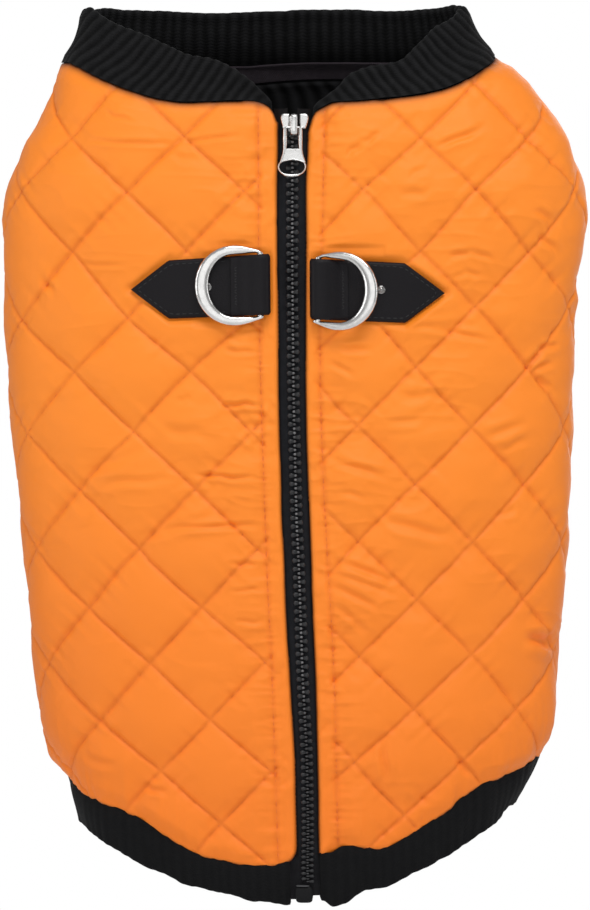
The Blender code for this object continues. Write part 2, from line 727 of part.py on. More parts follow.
def zip_slider(finish):
    """Two plates that hold the teeth, joined by a post, with cheeks and a bridge for the pull."""
    shape = [(-2.2, 7.4), (2.2, 7.4), (5.1, 6.4), (5.7, 4.2), (4.9, -1.2), (3.8, -2.4),
             (-3.8, -2.4), (-4.9, -1.2), (-5.7, 4.2), (-5.1, 6.4)]
    slider = prism("zip_slider", shape, -3.4, -2.3, "y")
    post = [(-1.3, 7.1), (1.3, 7.1), (1.0, 2.6), (-1.0, 2.6)]
    parts = [prism("back_plate", shape, 2.3, 3.3, "y"), prism("post", post, -2.6, 2.6, "y")]
    for side in (-1, 1):
        rail = [(side * 3.25, 1.8), (side * 4.6, 1.8), (side * 4.4, -1.6), (side * 3.25, -1.6)]
        cheek = [(side * x, z) for x, z in ((1.9, 7.0), (4.7, 6.1), (5.3, 4.2), (5.0, 2.2), (1.9, 2.2))]
        parts.append(prism("rail", rail, -2.6, -0.1, "y"))
        parts.append(prism("cheek", cheek, -4.5, -3.0, "y"))
    bridge = [(-3.0, 6.8), (-5.4, 5.6), (-6.6, 3.2), (-7.0, 0.6), (-6.6, -1.2), (-5.4, -2.2),
              (-3.0, -2.2)]
    parts.append(prism("bridge", bridge, -1.35, 1.35))
    for part in parts:
        combine(slider, part, "UNION")
    combine(slider, round_bar("pin_way", (-PULL_OUT, 0), 1.2, 3.0, 12), "DIFFERENCE")
    return stand_on(finish_as(slider, finish), 0, PULL_HEIGHT)


def zip_pull(finish):
    """A forked plate that hangs from its pin and widens to a ring."""
    half = [(2.0, 0.75), (4.1, 0.75), (4.2, -2.0), (4.0, -6.0), (4.2, -9.5), (4.9, -12.0), (5.8, -14.4),
            (6.0, -15.8), (5.6, -17.3), (4.2, -18.6), (2.0, -19.3)]
    outline = [(-x, z) for x, z in half[::-1]] + half
    pull = prism("zip_pull", outline, -0.6, 0.6, "y")
    slot = [(-2.05, 2), (2.05, 2), (2.05, -6.9), (-2.05, -6.9)]
    eye_half = [(3.2, -12.5), (4.7, -13.9), (5.0, -15.5), (4.4, -16.9), (2.2, -18.1)]
    eye = [(0, -12.0)] + eye_half + [(-x, z) for x, z in eye_half[::-1]]
    combine(pull, prism("slot", slot, -2, 2, "y"), "DIFFERENCE")
    combine(pull, prism("eye", eye, -2, 2, "y"), "DIFFERENCE")
    combine(pull, round_bar("pin", (0, 0), 0.75, 3.0, 12), "UNION")
    return stand_on(finish_as(pull, finish), 0, PULL_HEIGHT, PULL_OUT)


def zip_box(finish):
    """The retainer at the zip's lower end."""
    shape = [(-4.2, 3.3), (4.2, 3.3), (4.4, -2.6), (3.6, -3.4), (-3.6, -3.4), (-4.4, -2.6)]
    box = prism("zip_box", shape, -2.2, 2.4, "y")
    return stand_on(finish_as(box, finish, 0.3), 0, ZIP_BOTTOM - GAP - 3.6)


BAR_AT = TAB_THICK + GAP + RING_BAR
BAR_OUT = GAP + TAB_THICK + GAP + RING_BAR


def hook_section(tab_end):
    """The folded tab, cut across its bar: distance from the fold, and distance out."""
    turns = np.linspace(-0.5 * math.pi, 0.5 * math.pi, 7)
    inside_radius = RING_BAR + GAP
    outside_radius = inside_radius + TAB_THICK
    fold = [(BAR_AT - outside_radius * math.cos(t), BAR_OUT + outside_radius * math.sin(t)) for t in turns]
    way = [(BAR_AT - inside_radius * math.cos(t), BAR_OUT + inside_radius * math.sin(t)) for t in turns]
    under, over = GAP, GAP + TAB_THICK
    flap_under, flap_over = over + GAP, over + GAP + TAB_THICK
    knee = BAR_AT + 2.5
    flap = [(knee, fold[-1][1]), (STITCH_AT, flap_over), (STITCH_AT + 2, flap_over),
            (STITCH_AT + 2, flap_under), (STITCH_AT, flap_under), (knee, way[-1][1])]
    along = np.linspace(BAR_AT, tab_end, 6)[1:]
    top = [(d, over) for d in along]
    bottom = [(d, under) for d in along[::-1]]
    return np.array(fold + flap + way[::-1] + top + bottom)


def tab(which, finish):
    """A pointed tab that lies on its panel and folds back over the ring's bar."""
    setting = TABS[which]
    rows = []
    for level in np.linspace(-1, 1, 9):
        tab_end = TAB_TIP - (TAB_TIP - TAB_SHOULDER) * abs(level)
        section = hook_section(tab_end)
        narrowing = 1 - 0.05 * np.clip(section[:, 0], 0, None) / TAB_SHOULDER
        height = setting["height"] + STRAP_HALF * level * narrowing
        height += setting["tip_drop"] * section[:, 0] / TAB_TIP
        rows.append(from_zip(setting["side"] * (setting["end"] + section[:, 0]), height, section[:, 1]))
    return ring_section_solid(f"tab_{which}", rows, finish, 35)


def ring_stations():
    """The ring's outer and inner edges all the way round, from the bar's middle."""
    centre = RING_DEEP - 16.0
    inner_half = STRAP_HALF + 0.35
    stations = [((-RING_BAR, q), (RING_BAR, q)) for q in (0, 6, 11.2)]
    stations.append(((-RING_BAR, 12.9), (RING_BAR, 12.2)))
    stations.append(((-0.3, 13.9), (1.9, inner_half)))
    for share in (0.2, 0.4, 0.6, 0.8):
        p = centre * share + 0.6
        outer = 14.0 + (RING_HALF_TALL - 14.0) * math.sin(0.5 * math.pi * p / centre)
        stations.append(((p, outer), (p, inner_half)))
    for t in np.linspace(0.5 * math.pi, 0, 9):
        outer = (centre + 16.0 * math.cos(t), RING_HALF_TALL * math.sin(t))
        inner = (centre + (16.0 - RING_BAND) * math.cos(t), (inner_half + 0.15) * math.sin(t))
        stations.append((outer, inner))
    mirrored = [((o[0], -o[1]), (i[0], -i[1])) for o, i in stations[1:-1]]
    return np.array(stations + mirrored[::-1])


def d_ring(which, finish):
    """A ring with a straight bar, thick at its round end and fine beside the bar."""
    setting = TABS[which]
    side = setting["side"]
    stations = ring_stations()
    middle, reach = stations.mean(axis=1), (stations[:, 0] - stations[:, 1]) / 2
    wide = np.linalg.norm(reach, axis=1)
    deep = np.clip(1.25 + 0.2 * (wide - RING_BAR), 1.2, RING_THICK / 2)
    rows = []
    for turn in np.linspace(0, 2 * math.pi, 10, endpoint=False):
        flat = middle + reach * math.cos(turn)
        rows.append(np.stack([side * flat[:, 0], deep * math.sin(turn), flat[:, 1]], axis=1))
    ring = ring_section_solid(f"d_ring_{which}", np.stack(rows, axis=1), finish, 40, closed=True)
    turn = -side * math.radians(setting["lift"])
    return stand_on(ring, side * (setting["end"] + BAR_AT), setting["height"], BAR_OUT, turn, upright=True)


def rivet(which, finish):
    """A low dome on the tab."""
    setting = TABS[which]
    profile = [(1.0, 0.0), (1.0, 0.35), (0.82, 0.8), (0.45, 1.05)]
    turns = np.linspace(0, 2 * math.pi, 14, endpoint=False)
    points = [
        (RIVET_RADIUS * share * math.cos(t), -out, RIVET_RADIUS * share * math.sin(t))
        for share, out in profile
        for t in turns
    ]
    count, faces = len(turns), []
    for level in range(len(profile) - 1):
        for k in range(count):
            a, b = level * count + k, level * count + (k + 1) % count
            faces.append([a, b, b + count, a + count])
    faces.append(list(range(count)))
    faces.append([(len(profile) - 1) * count + k for k in range(count)][::-1])
    made = new_object(f"rivet_{which}", points, faces, finish, 40)
    along = setting["rivet"]
    height = setting["height"] + setting["tip_drop"] * along / TAB_TIP
    return stand_on(made, setting["side"] * (setting["end"] + along), height, 2 * GAP + TAB_THICK)


def main():
    clear_scene()
    material("helper", (0.5, 0.5, 0.5), 0.5)
    shell = material("quilted_shell", ORANGE, 0.5)
    knit = material("rib_knit", BLACK_KNIT, 0.95)
    inner = material("inner_tape", GREY_PURPLE, 0.9)
    tape = material("zip_cloth", BLACK_TAPE, 0.9)
    teeth = material("zip_plastic", BLACK_TAPE, 0.35)
    strap = material("tab_leather", CHARCOAL, 0.55)
    metal = material("satin_nickel", NICKEL, 0.28, 1.0)
    for side in (-1, 1):
        body_panel(side, shell)
        leg_binding(side, knit)
        zip_tape(side, tape)
    belly_panel(shell)
    collar(knit)
    hem_band(knit)
    inner_strip("neck_tape", 78, -0.6, -0.6 - TAPE_STRIP_TALL, 1.0, False, inner)
    inner_strip("neck_lining", 62, -0.9 - TAPE_STRIP_TALL, LINING_BOTTOM, 0.9, True, knit)
    zip_chain(teeth)
    zip_slider(metal)
    zip_pull(metal)
    zip_box(teeth)
    for which in TABS:
        tab(which, strap)
        rivet(which, metal)
        d_ring(which, metal)


main()
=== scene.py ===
import math

import bpy
import numpy as np
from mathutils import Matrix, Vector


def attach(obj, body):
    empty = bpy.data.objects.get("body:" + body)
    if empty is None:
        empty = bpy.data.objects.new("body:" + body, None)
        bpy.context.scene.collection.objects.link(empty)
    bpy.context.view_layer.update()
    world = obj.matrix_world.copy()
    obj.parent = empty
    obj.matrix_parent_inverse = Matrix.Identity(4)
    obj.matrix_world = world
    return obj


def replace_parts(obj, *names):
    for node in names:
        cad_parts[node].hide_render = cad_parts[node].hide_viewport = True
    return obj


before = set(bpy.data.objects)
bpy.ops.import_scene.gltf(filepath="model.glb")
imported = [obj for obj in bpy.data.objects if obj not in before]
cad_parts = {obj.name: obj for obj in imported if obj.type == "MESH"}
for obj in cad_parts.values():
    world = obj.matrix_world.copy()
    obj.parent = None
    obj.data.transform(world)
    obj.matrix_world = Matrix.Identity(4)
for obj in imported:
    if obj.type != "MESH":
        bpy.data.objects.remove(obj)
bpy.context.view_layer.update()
mm = 0.001
print("coat's frame loaded")

# every size here is in mm
coatForm = {
    # height, left, right, towards the zip, towards the belly
    "sections": [
        (30, -86, 72, 31, 32), (0, -94.5, 84, 38, 39), (-12, -97, 97, 41, 43), (-26, -103, 107, 44, 46),
        (-36, -109, 112.3, 45.6, 47.5), (-52, -114.5, 117.2, 47.4, 49), (-66, -117, 118.8, 48, 50),
        (-90, -116.5, 115.5, 48, 51), (-118, -116, 113.5, 48, 51.5), (-160, -112.5, 112.5, 48, 51),
        (-205, -108, 110, 47.5, 50), (-245, -104.5, 106.5, 47, 48), (-270, -101.5, 105.5, 46.5, 46.5),
        (-282, -98, 101.5, 46, 45.5), (-294, -91.5, 96, 45.5, 44.5), (-311, -88, 90, 44.5, 43),
        (-350, -84, 85, 41, 40),
    ],
    "zipSquareness": 2.5, "bellySquareness": 2.3, "steps": 720,
    "zipLine": [(0, -0.3), (-77, -0.2), (-180, 1.6), (-262, 4.1), (-323, 5.3), (-350, 6.2)],
    # arc from the zip, seam height left and right, collar height left and right
    "neck": [
        (6.2, -25, -29, 2.4, 2.4), (7.5, -21.5, -24.5, 2.5, 2.5), (9.5, -18.5, -20.5, 3, 2.7),
        (12.7, -16.8, -18.5, 4.5, 3.2), (17, -16, -16.6, 7.8, 4.5), (24, -16, -16.3, 13, 10.9),
        (33, -16.4, -15.6, 17.4, 13.5), (44, -16.6, -14.5, 19.3, 14.1), (55, -15.2, -12.9, 22.6, 20.5),
        (65, -12.4, -10.2, 24, 24.9), (74, -9.2, -6.4, 23.5, 24.4), (83, -5.6, -2.0, 23, 23),
        (92, -1.8, 1.0, 22.4, 21.5), (100, 0, 3.0, 22.2, 19.6), (112, 0, 2.6, 21.9, 20.1),
        (124, 0, 1.9, 21.6, 21.5), (137, 0, 1.1, 22.6, 21.2), (150, 0, 0.5, 21.4, 21.2),
        (165, 0, 0, 21.4, 21.3), (182, 0, 0, 21.2, 21.6), (194, 0, 0, 20.9, 22.2),
        (203, 0, 0, 21.3, 22.1), (209, 0, 0, 21.4, 21.6), (219, 0, 0, 21.6, 21.6),
    ],
    # arc from the zip, seam height left and right, band depth left and right
    "hem": [
        (3.2, -322.5, -320.3, 18, 18.6), (4.4, -325, -323, 18, 18.6), (6.2, -327, -324.8, 17.4, 18.6),
        (10, -329, -324.6, 15.6, 21.2), (15, -329.6, -322, 14.4, 22.6), (20, -330, -321.8, 13.4, 19.5),
        (30, -328.4, -323, 13.4, 15), (45, -325, -316, 13, 16), (58, -317.4, -308, 16, 17.5),
        (72, -309.1, -298, 18.2, 20), (85, -304.6, -293.3, 16, 18.5), (96, -300.8, -290.2, 15, 15.8),
        (115, -295, -284.5, 16, 16.5), (150, -277, -269, 18, 18), (185, -254, -251, 18, 18),
        (212, -241, -240, 18, 18), (240, -238, -238, 18, 18),
    ],
    "sideSeam": [(0, 82), (-28, 99), (-46, 105), (-140, 105), (-200, 99), (-300, 88)],
    "legHeight": -91, "legArc": 105, "legHalfWide": 31, "legHalfTall": 35,
    "wall": 2.0, "gap": 0.3,
    # height, and arc from the zip to the panels' edges left and right
    "zipEdges": [
        (-18, 5.73, 6.32), (-36, 5.63, 5.92), (-52, 5.98, 5.22), (-75, 5.93, 5.37), (-110, 5.78, 4.82),
        (-138, 6.13, 4.32), (-155, 6.18, 4.17), (-171, 5.93, 4.42), (-188, 6.03, 4.67),
        (-204, 5.53, 4.82), (-220, 5.58, 4.67), (-237, 5.23, 4.82), (-253, 4.73, 5.07),
        (-270, 4.13, 5.07), (-286, 3.43, 5.17), (-303, 3.43, 5.22), (-315, 3.33, 5.02),
        (-330, 3.53, 5.12),
    ],
}


def smoothCurve(at, rows, column=1):
    # a cubic through the rows that never overshoots them: slopes are harmonic means of the rises
    rows = sorted(rows)
    x = np.array([row[0] for row in rows], float)
    y = np.array([row[column] for row in rows], float)
    step = np.diff(x)
    rise = np.diff(y) / step
    slope = np.concatenate([[rise[0]], np.zeros(len(x) - 2), [rise[-1]]])
    sameWay = rise[:-1] * rise[1:] > 0
    both = np.where(sameWay, rise[:-1] + rise[1:], 1)
    slope[1:-1] = np.where(sameWay, 2 * rise[:-1] * rise[1:] / both, 0)
    at = np.clip(np.asarray(at, float), x[0], x[-1])
    k = np.clip(np.searchsorted(x, at) - 1, 0, len(x) - 2)
    t = (at - x[k]) / step[k]
    return (y[k] + t * t * (3 - 2 * t) * (y[k + 1] - y[k])
            + step[k] * (t * (1 - t) ** 2 * slope[k] - t * t * (1 - t) * slope[k + 1]))


def eased(value, start, end):
    # 0 before start and 1 after end, with a smooth step between
    t = np.clip((value - start) / (end - start), 0, 1)
    return t * t * (3 - 2 * t)


def buildSections():
    # superellipses, one for each mm of height, their points spread evenly by arc length
    levels = np.arange(coatForm["sections"][-1][0], coatForm["sections"][0][0] + 1, 1.0)
    left, right, zipSide, bellySide = (smoothCurve(levels, coatForm["sections"], column)[:, None]
                                       for column in (1, 2, 3, 4))
    turn = np.linspace(0, 2 * math.pi, coatForm["steps"] + 1)[None, :]
    belly = np.cos(turn)
    power = 2 / np.where(belly > 0, coatForm["bellySquareness"], coatForm["zipSquareness"])
    x = (left + right) / 2 - (right - left) / 2 * np.sign(np.sin(turn)) * np.abs(np.sin(turn)) ** power
    y = np.where(belly > 0, bellySide, zipSide) * np.sign(belly) * np.abs(belly) ** power
    steps = np.hypot(np.diff(x, axis=1), np.diff(y, axis=1))
    arc = np.concatenate([np.zeros((len(levels), 1)), np.cumsum(steps, axis=1)], axis=1)
    share = np.linspace(0, 1, coatForm["steps"] + 1)
    evenX = np.array([np.interp(share * row[-1], row, px) for row, px in zip(arc, x)])
    evenY = np.array([np.interp(share * row[-1], row, py) for row, py in zip(arc, y)])
    first, last = coatForm["steps"] // 4, 3 * coatForm["steps"] // 4
    middle = smoothCurve(levels, coatForm["zipLine"])
    zipArcs = np.array([np.interp(at, px[first:last], row[first:last])
                        for at, px, row in zip(middle, x, arc)])
    return levels, arc[:, -1], zipArcs, evenX, evenY


levels, girths, zipArcs, sectionX, sectionY = buildSections()


def girthAt(height):
    return np.interp(height, levels, girths)


def zipArcAt(height):
    return np.interp(height, levels, zipArcs)


def sectionPoint(share, height):
    # the four nearest points of the sections, blended
    at = np.clip(height - levels[0], 0, len(levels) - 1.001)
    level, above = at.astype(int), at % 1
    roundIt = np.mod(share, 1) * coatForm["steps"]
    step, after = roundIt.astype(int) % coatForm["steps"], roundIt % 1

    def blend(table):
        low = table[level, step] * (1 - after) + table[level, step + 1] * after
        high = table[level + 1, step] * (1 - after) + table[level + 1, step + 1] * after
        return low * (1 - above) + high * above

    return np.stack([blend(sectionX), blend(sectionY), height], axis=-1)


def onForm(arc, height, out):
    # the section's point, moved out along the cross product of the ways round and up
    arc, height, out = (np.array(a, float) for a in np.broadcast_arrays(arc, height, out))
    near = 1.5
    share, small = arc / girthAt(height), near / girthAt(height)
    across = sectionPoint(share + small, height) - sectionPoint(share - small, height)
    upward = sectionPoint(share, height + near) - sectionPoint(share, height - near)
    normal = np.cross(across, upward)
    normal /= np.linalg.norm(normal, axis=-1)[..., None]
    return sectionPoint(share, height) + normal * out[..., None]


def fromZip(arc, height, out):
    return onForm(zipArcAt(height) + arc, height, out)


def fromBelly(arc, height, out):
    return onForm(girthAt(height) - arc, height, out)


def halfGirth(side, height):
    return zipArcAt(height) if side < 0 else girthAt(height) - zipArcAt(height)


def neckSeam(side, arc):
    return smoothCurve(arc, coatForm["neck"], 1 if side < 0 else 2)


def hemSeam(side, arc):
    return smoothCurve(arc, coatForm["hem"], 1 if side < 0 else 2)


def zipEdgeAt(side, height):
    return smoothCurve(height, coatForm["zipEdges"], 1 if side < 0 else 2)


def softNoise(u, v, seed):
    # random values on a square lattice that repeats, blended by a smooth step
    size = 97
    values = np.random.default_rng(seed).uniform(-1, 1, (size, size))
    i, j = np.floor(u).astype(int), np.floor(v).astype(int)
    a, b = u - i, v - j
    a, b = a * a * (3 - 2 * a), b * b * (3 - 2 * b)
    i, j, iNext, jNext = i % size, j % size, (i + 1) % size, (j + 1) % size
    return ((values[i, j] * (1 - a) + values[iNext, j] * a) * (1 - b)
            + (values[i, jNext] * (1 - a) + values[iNext, jNext] * a) * b)


def gridQuads(rows, columns, wrapRows=False, wrapColumns=False):
    # the four corners of each cell of a grid of points
    i, j = np.meshgrid(np.arange(rows if wrapRows else rows - 1),
                       np.arange(columns if wrapColumns else columns - 1), indexing="ij")
    iNext, jNext = (i + 1) % rows, (j + 1) % columns
    return np.stack([i * columns + j, i * columns + jNext, iNext * columns + jNext, iNext * columns + j],
                    axis=-1).reshape(-1, 4)


def meshPiece(name, points, quads, finish, slot, body="coat", uv=None, marks=None):
    # one smooth object from arrays of points in mm and of quads, riding on its body
    mesh = bpy.data.meshes.new(name)
    metres = np.asarray(points, float).reshape(-1, 3) * mm
    mesh.from_pydata(metres.tolist(), [], np.asarray(quads).tolist())
    mesh.polygons.foreach_set("use_smooth", np.ones(len(mesh.polygons), bool))
    if uv is not None:
        corner = np.zeros(len(mesh.loops), int)
        mesh.loops.foreach_get("vertex_index", corner)
        flat = np.asarray(uv).reshape(-1, 2)[corner]
        mesh.uv_layers.new(name="cloth").data.foreach_set("uv", flat.ravel())
    for word, values in (marks or {}).items():
        mesh.attributes.new(word, "FLOAT", "POINT").data.foreach_set("value", np.asarray(values).ravel())
    mesh.materials.append(finish)
    made = bpy.data.objects.new(name, mesh)
    bpy.context.scene.collection.objects.link(made)
    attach(made, body)
    return made


def joined(parts):
    # several (points, quads) pairs as one pair
    points, quads, first = [], [], 0
    for p, q in parts:
        points.append(np.asarray(p).reshape(-1, 3))
        quads.append(np.asarray(q) + first)
        first += len(points[-1])
    return np.concatenate(points), np.concatenate(quads)


class Wire:
    # a node's output that adds, multiplies and so on like a number
    def __init__(self, tree, socket):
        self.tree, self.socket = tree, socket

    def calc(self, kind, *others, swap=False):
        made = self.tree.nodes.new("ShaderNodeMath")
        made.operation = kind
        values = [*others, self] if swap else [self, *others]
        for place, value in zip(made.inputs, values):
            if isinstance(value, Wire):
                self.tree.links.new(value.socket, place)
            else:
                place.default_value = value
        return Wire(self.tree, made.outputs[0])

    def __add__(self, other):
        return self.calc("ADD", other)

    def __sub__(self, other):
        return self.calc("SUBTRACT", other)

    def __rsub__(self, other):
        return self.calc("SUBTRACT", other, swap=True)

    def __mul__(self, other):
        return self.calc("MULTIPLY", other)

    def __truediv__(self, other):
        return self.calc("DIVIDE", other)

    def __rtruediv__(self, other):
        return self.calc("DIVIDE", other, swap=True)

    def __pow__(self, other):
        return self.calc("POWER", other)

    __radd__, __rmul__ = __add__, __mul__

    def sin(self):
        return self.calc("SINE")

    def size(self):
        return self.calc("ABSOLUTE")

    def part(self):
        return self.calc("FRACT")


class Finish:
    # a material whose uniform values sit on the shader's own sockets
    def __init__(self, name, colour, **fixed):
        self.made = bpy.data.materials.new(name)
        self.made.use_nodes = True
        self.tree = self.made.node_tree
        self.shader = self.tree.nodes["Principled BSDF"]
        self.shader.inputs["Base Color"].default_value = (*colour, 1)
        for word, value in fixed.items():
            self.shader.inputs[word.replace("_", " ")].default_value = value

    def node(self, kind, values=None, out=0, **settings):
        made = self.tree.nodes.new(kind)
        for word, value in settings.items():
            setattr(made, word, value)
        for place, value in (values or {}).items():
            if isinstance(value, Wire):
                self.tree.links.new(value.socket, made.inputs[place])
            else:
                made.inputs[place].default_value = value
        return Wire(self.tree, made.outputs[out])

    def feed(self, place, wire):
        self.tree.links.new(wire.socket, self.shader.inputs[place])

    def clothPlace(self):
        # the cloth's own two directions, kept as UV
        split = self.node("ShaderNodeSeparateXYZ", {0: self.node("ShaderNodeUVMap", uv_map="cloth")})
        return [Wire(self.tree, socket) for socket in split.socket.node.outputs[:2]]

    def objectPlace(self):
        return self.node("ShaderNodeTexCoord", out="Object")

    def mark(self, word):
        return self.node("ShaderNodeAttribute", out="Fac", attribute_name=word)

    def noise(self, scale, detail=2.0, rough=0.5, at=None):
        values = {"Vector": at or self.objectPlace(), "Scale": scale, "Detail": detail, "Roughness": rough}
        return self.node("ShaderNodeTexNoise", values)

    def mix(self, share, first, second):
        made = self.tree.nodes.new("ShaderNodeMix")
        made.data_type = "RGBA"
        places = {0: share, 6: first, 7: second}
        for place, value in places.items():
            if isinstance(value, Wire):
                self.tree.links.new(value.socket, made.inputs[place])
            elif place == 0:
                made.inputs[place].default_value = value
            else:
                made.inputs[place].default_value = (*value, 1)
        return Wire(self.tree, made.outputs[2])

    def bump(self, height, distance, strength=1.0, under=None):
        values = {"Height": height, "Distance": distance, "Strength": strength}
        if under is not None:
            values["Normal"] = under
        return self.node("ShaderNodeBump", values)


def limited(wire, low=0.0, high=1.0):
    return wire.calc("MAXIMUM", low).calc("MINIMUM", high)


def nylonFinish(look):
    # orange nylon: a fine plain weave, faint crinkles, painted shade down in the seams with random darker
    # patches, painted shadow along the panels' edges, and darker towards the bottom of the coat
    made = Finish("orangeNylon", look["colour"], Roughness=look["roughness"], Specular_IOR_Level=0.35,
                  Sheen_Weight=0.05, Sheen_Roughness=0.45)
    u, v = made.clothPlace()
    threads = (u * look["threads"]).sin() * (v * look["threads"]).sin()
    crinkle = made.noise(420, 3, 0.6)
    tone = made.noise(14, 2, 0.5)
    # painted shade down in the seams, mixed with random darker tone patches
    deep = limited(made.mark("seam") * 0.5 + (tone - 0.5) * 0.5)
    height = made.node("ShaderNodeSeparateXYZ", {0: made.objectPlace()}, out=2)
    # darker towards the bottom of the coat
    byHeight = made.mix(limited((look["lowFrom"] - height) * 6), look["colour"], look["lowColour"])
    cloth = made.mix(deep, byHeight, look["seamShadeAndToneColour"])
    # painted shadow along the panels' edges, where the cloth turns under at its seams
    made.feed("Base Color", made.mix(limited(made.mark("rim")), cloth, look["rimShadowColour"]))
    made.feed("Roughness", limited(look["roughness"] + (crinkle - 0.5) * 0.16, 0.2, 0.9))
    made.feed("Normal", made.bump(threads * 0.35 + crinkle, 0.00012, 0.5))
    return made.made


def knitFinish(name, look):
    # rib knit: rows of small V stitches up each rib, ridges painted a little greyer than the grooves as
    # painted shade in the grooves, with random flecks
    made = Finish(name, look["colour"], Roughness=0.92, Specular_IOR_Level=0.12,
                  Sheen_Weight=look["sheen"], Sheen_Roughness=0.5)
    u, v = made.clothPlace()
    lean = (u.part() - 0.5).size()
    loops = ((v + lean * 1.3) * (2 * math.pi)).sin()
    ridge = (u * (2 * math.pi) + 0.5 * math.pi).sin() * 0.5 + 0.5
    yarn = made.noise(1500, 2, 0.6)
    fleck = made.noise(260, 3, 0.7)
    # ridges painted lighter than grooves: painted shade between the ribs, plus random flecks
    made.feed("Base Color", made.mix(limited(ridge * look["ridge"] + (fleck - 0.5) * 0.8), look["colour"],
                                     look["ridgeLightAndFleckColour"]))
    made.feed("Normal", made.bump(loops * look["loops"] + yarn, 0.00018, 0.7))
    return made.made


def wovenFinish(name, look):
    # a narrow woven cloth: diagonal twill ridges crossed by finer threads
    made = Finish(name, look["colour"], Roughness=0.85, Specular_IOR_Level=0.15, Sheen_Weight=0.03,
                  Sheen_Roughness=0.5)
    u, v = made.clothPlace()
    twill = ((u + v) * (2 * math.pi * look["ridges"])).sin()
    cross = ((u - v) * (2 * math.pi * look["ridges"] * 2)).sin()
    tone = made.noise(300, 3, 0.6)
    cloth = made.mix(limited((tone - 0.35) * 1.6), look["colour"], look["lightColour"])
    made.feed("Base Color", made.mix(limited(made.mark("shade")), cloth, (0.004, 0.0012, 0.0006)))
    made.feed("Normal", made.bump(twill + cross * 0.4 + tone, 0.00016, 0.7))
    return made.made


def leatherFinish(look):
    # charcoal coated strap: a close pebble grain, worn a little lighter along its edges
    made = Finish("charcoalStrap", look["colour"], Roughness=0.55, Specular_IOR_Level=0.16)
    grain = made.node("ShaderNodeTexVoronoi", {"Vector": made.objectPlace(), "Scale": 1500.0})
    tone = made.noise(120, 3, 0.6)
    made.feed("Base Color", made.mix(limited(made.mark("edge") * 0.6 + (tone - 0.5) * 0.7),
                                     look["colour"], look["wornColour"]))
    made.feed("Roughness", limited(0.47 + (tone - 0.5) * 0.2 + grain * 0.05, 0.25, 0.8))
    made.feed("Normal", made.bump(grain + tone * 0.5, 0.00009, 0.6))
    return made.made


def metalFinish(name, look):
    # satin nickel: small tumbling marks in the gloss, with faint dull patches
    made = Finish(name, look["colour"], Metallic=1.0, Roughness=look["roughness"])
    patches = made.noise(160, 3, 0.6)
    marks = made.noise(2600, 2, 0.7)
    made.feed("Base Color", made.mix(limited((patches - 0.4) * 1.5), look["colour"], look["dullColour"]))
    rough = look["roughness"] + (patches - 0.5) * 0.22 + (marks - 0.5) * 0.12
    made.feed("Roughness", limited(rough, 0.08, 0.7))
    made.feed("Normal", made.bump(marks, 0.00004, 0.5))
    return made.made


def plasticFinish(name, look):
    # moulded black plastic, with a faint mould texture and random dusty tone, and a painted highlight
    # wherever the crown mark is set
    made = Finish(name, look["colour"], Roughness=look["roughness"], Specular_IOR_Level=look["gloss"])
    tone = made.noise(900, 2, 0.6)
    made.feed("Roughness", limited(look["roughness"] + (tone - 0.5) * 0.2, 0.15, 0.8))
    plastic = made.mix(limited(tone), look["colour"], look["dustColour"])
    # painted highlights on the teeth's crowns and on the box's lip
    made.feed("Base Color", made.mix(limited(made.mark("crown")), plastic, look["crownHighlightColour"]))
    made.feed("Normal", made.bump(tone, 0.00003, 0.5))
    return made.made


def threadFinish(name, colour, lightColour):
    # twisted sewing thread
    made = Finish(name, colour, Roughness=0.6, Sheen_Weight=0.1, Sheen_Roughness=0.4)
    twist = made.noise(3500, 1, 0.5)
    made.feed("Base Color", made.mix(limited(twist), colour, lightColour))
    made.feed("Normal", made.bump(twist, 0.00005, 0.6))
    return made.made


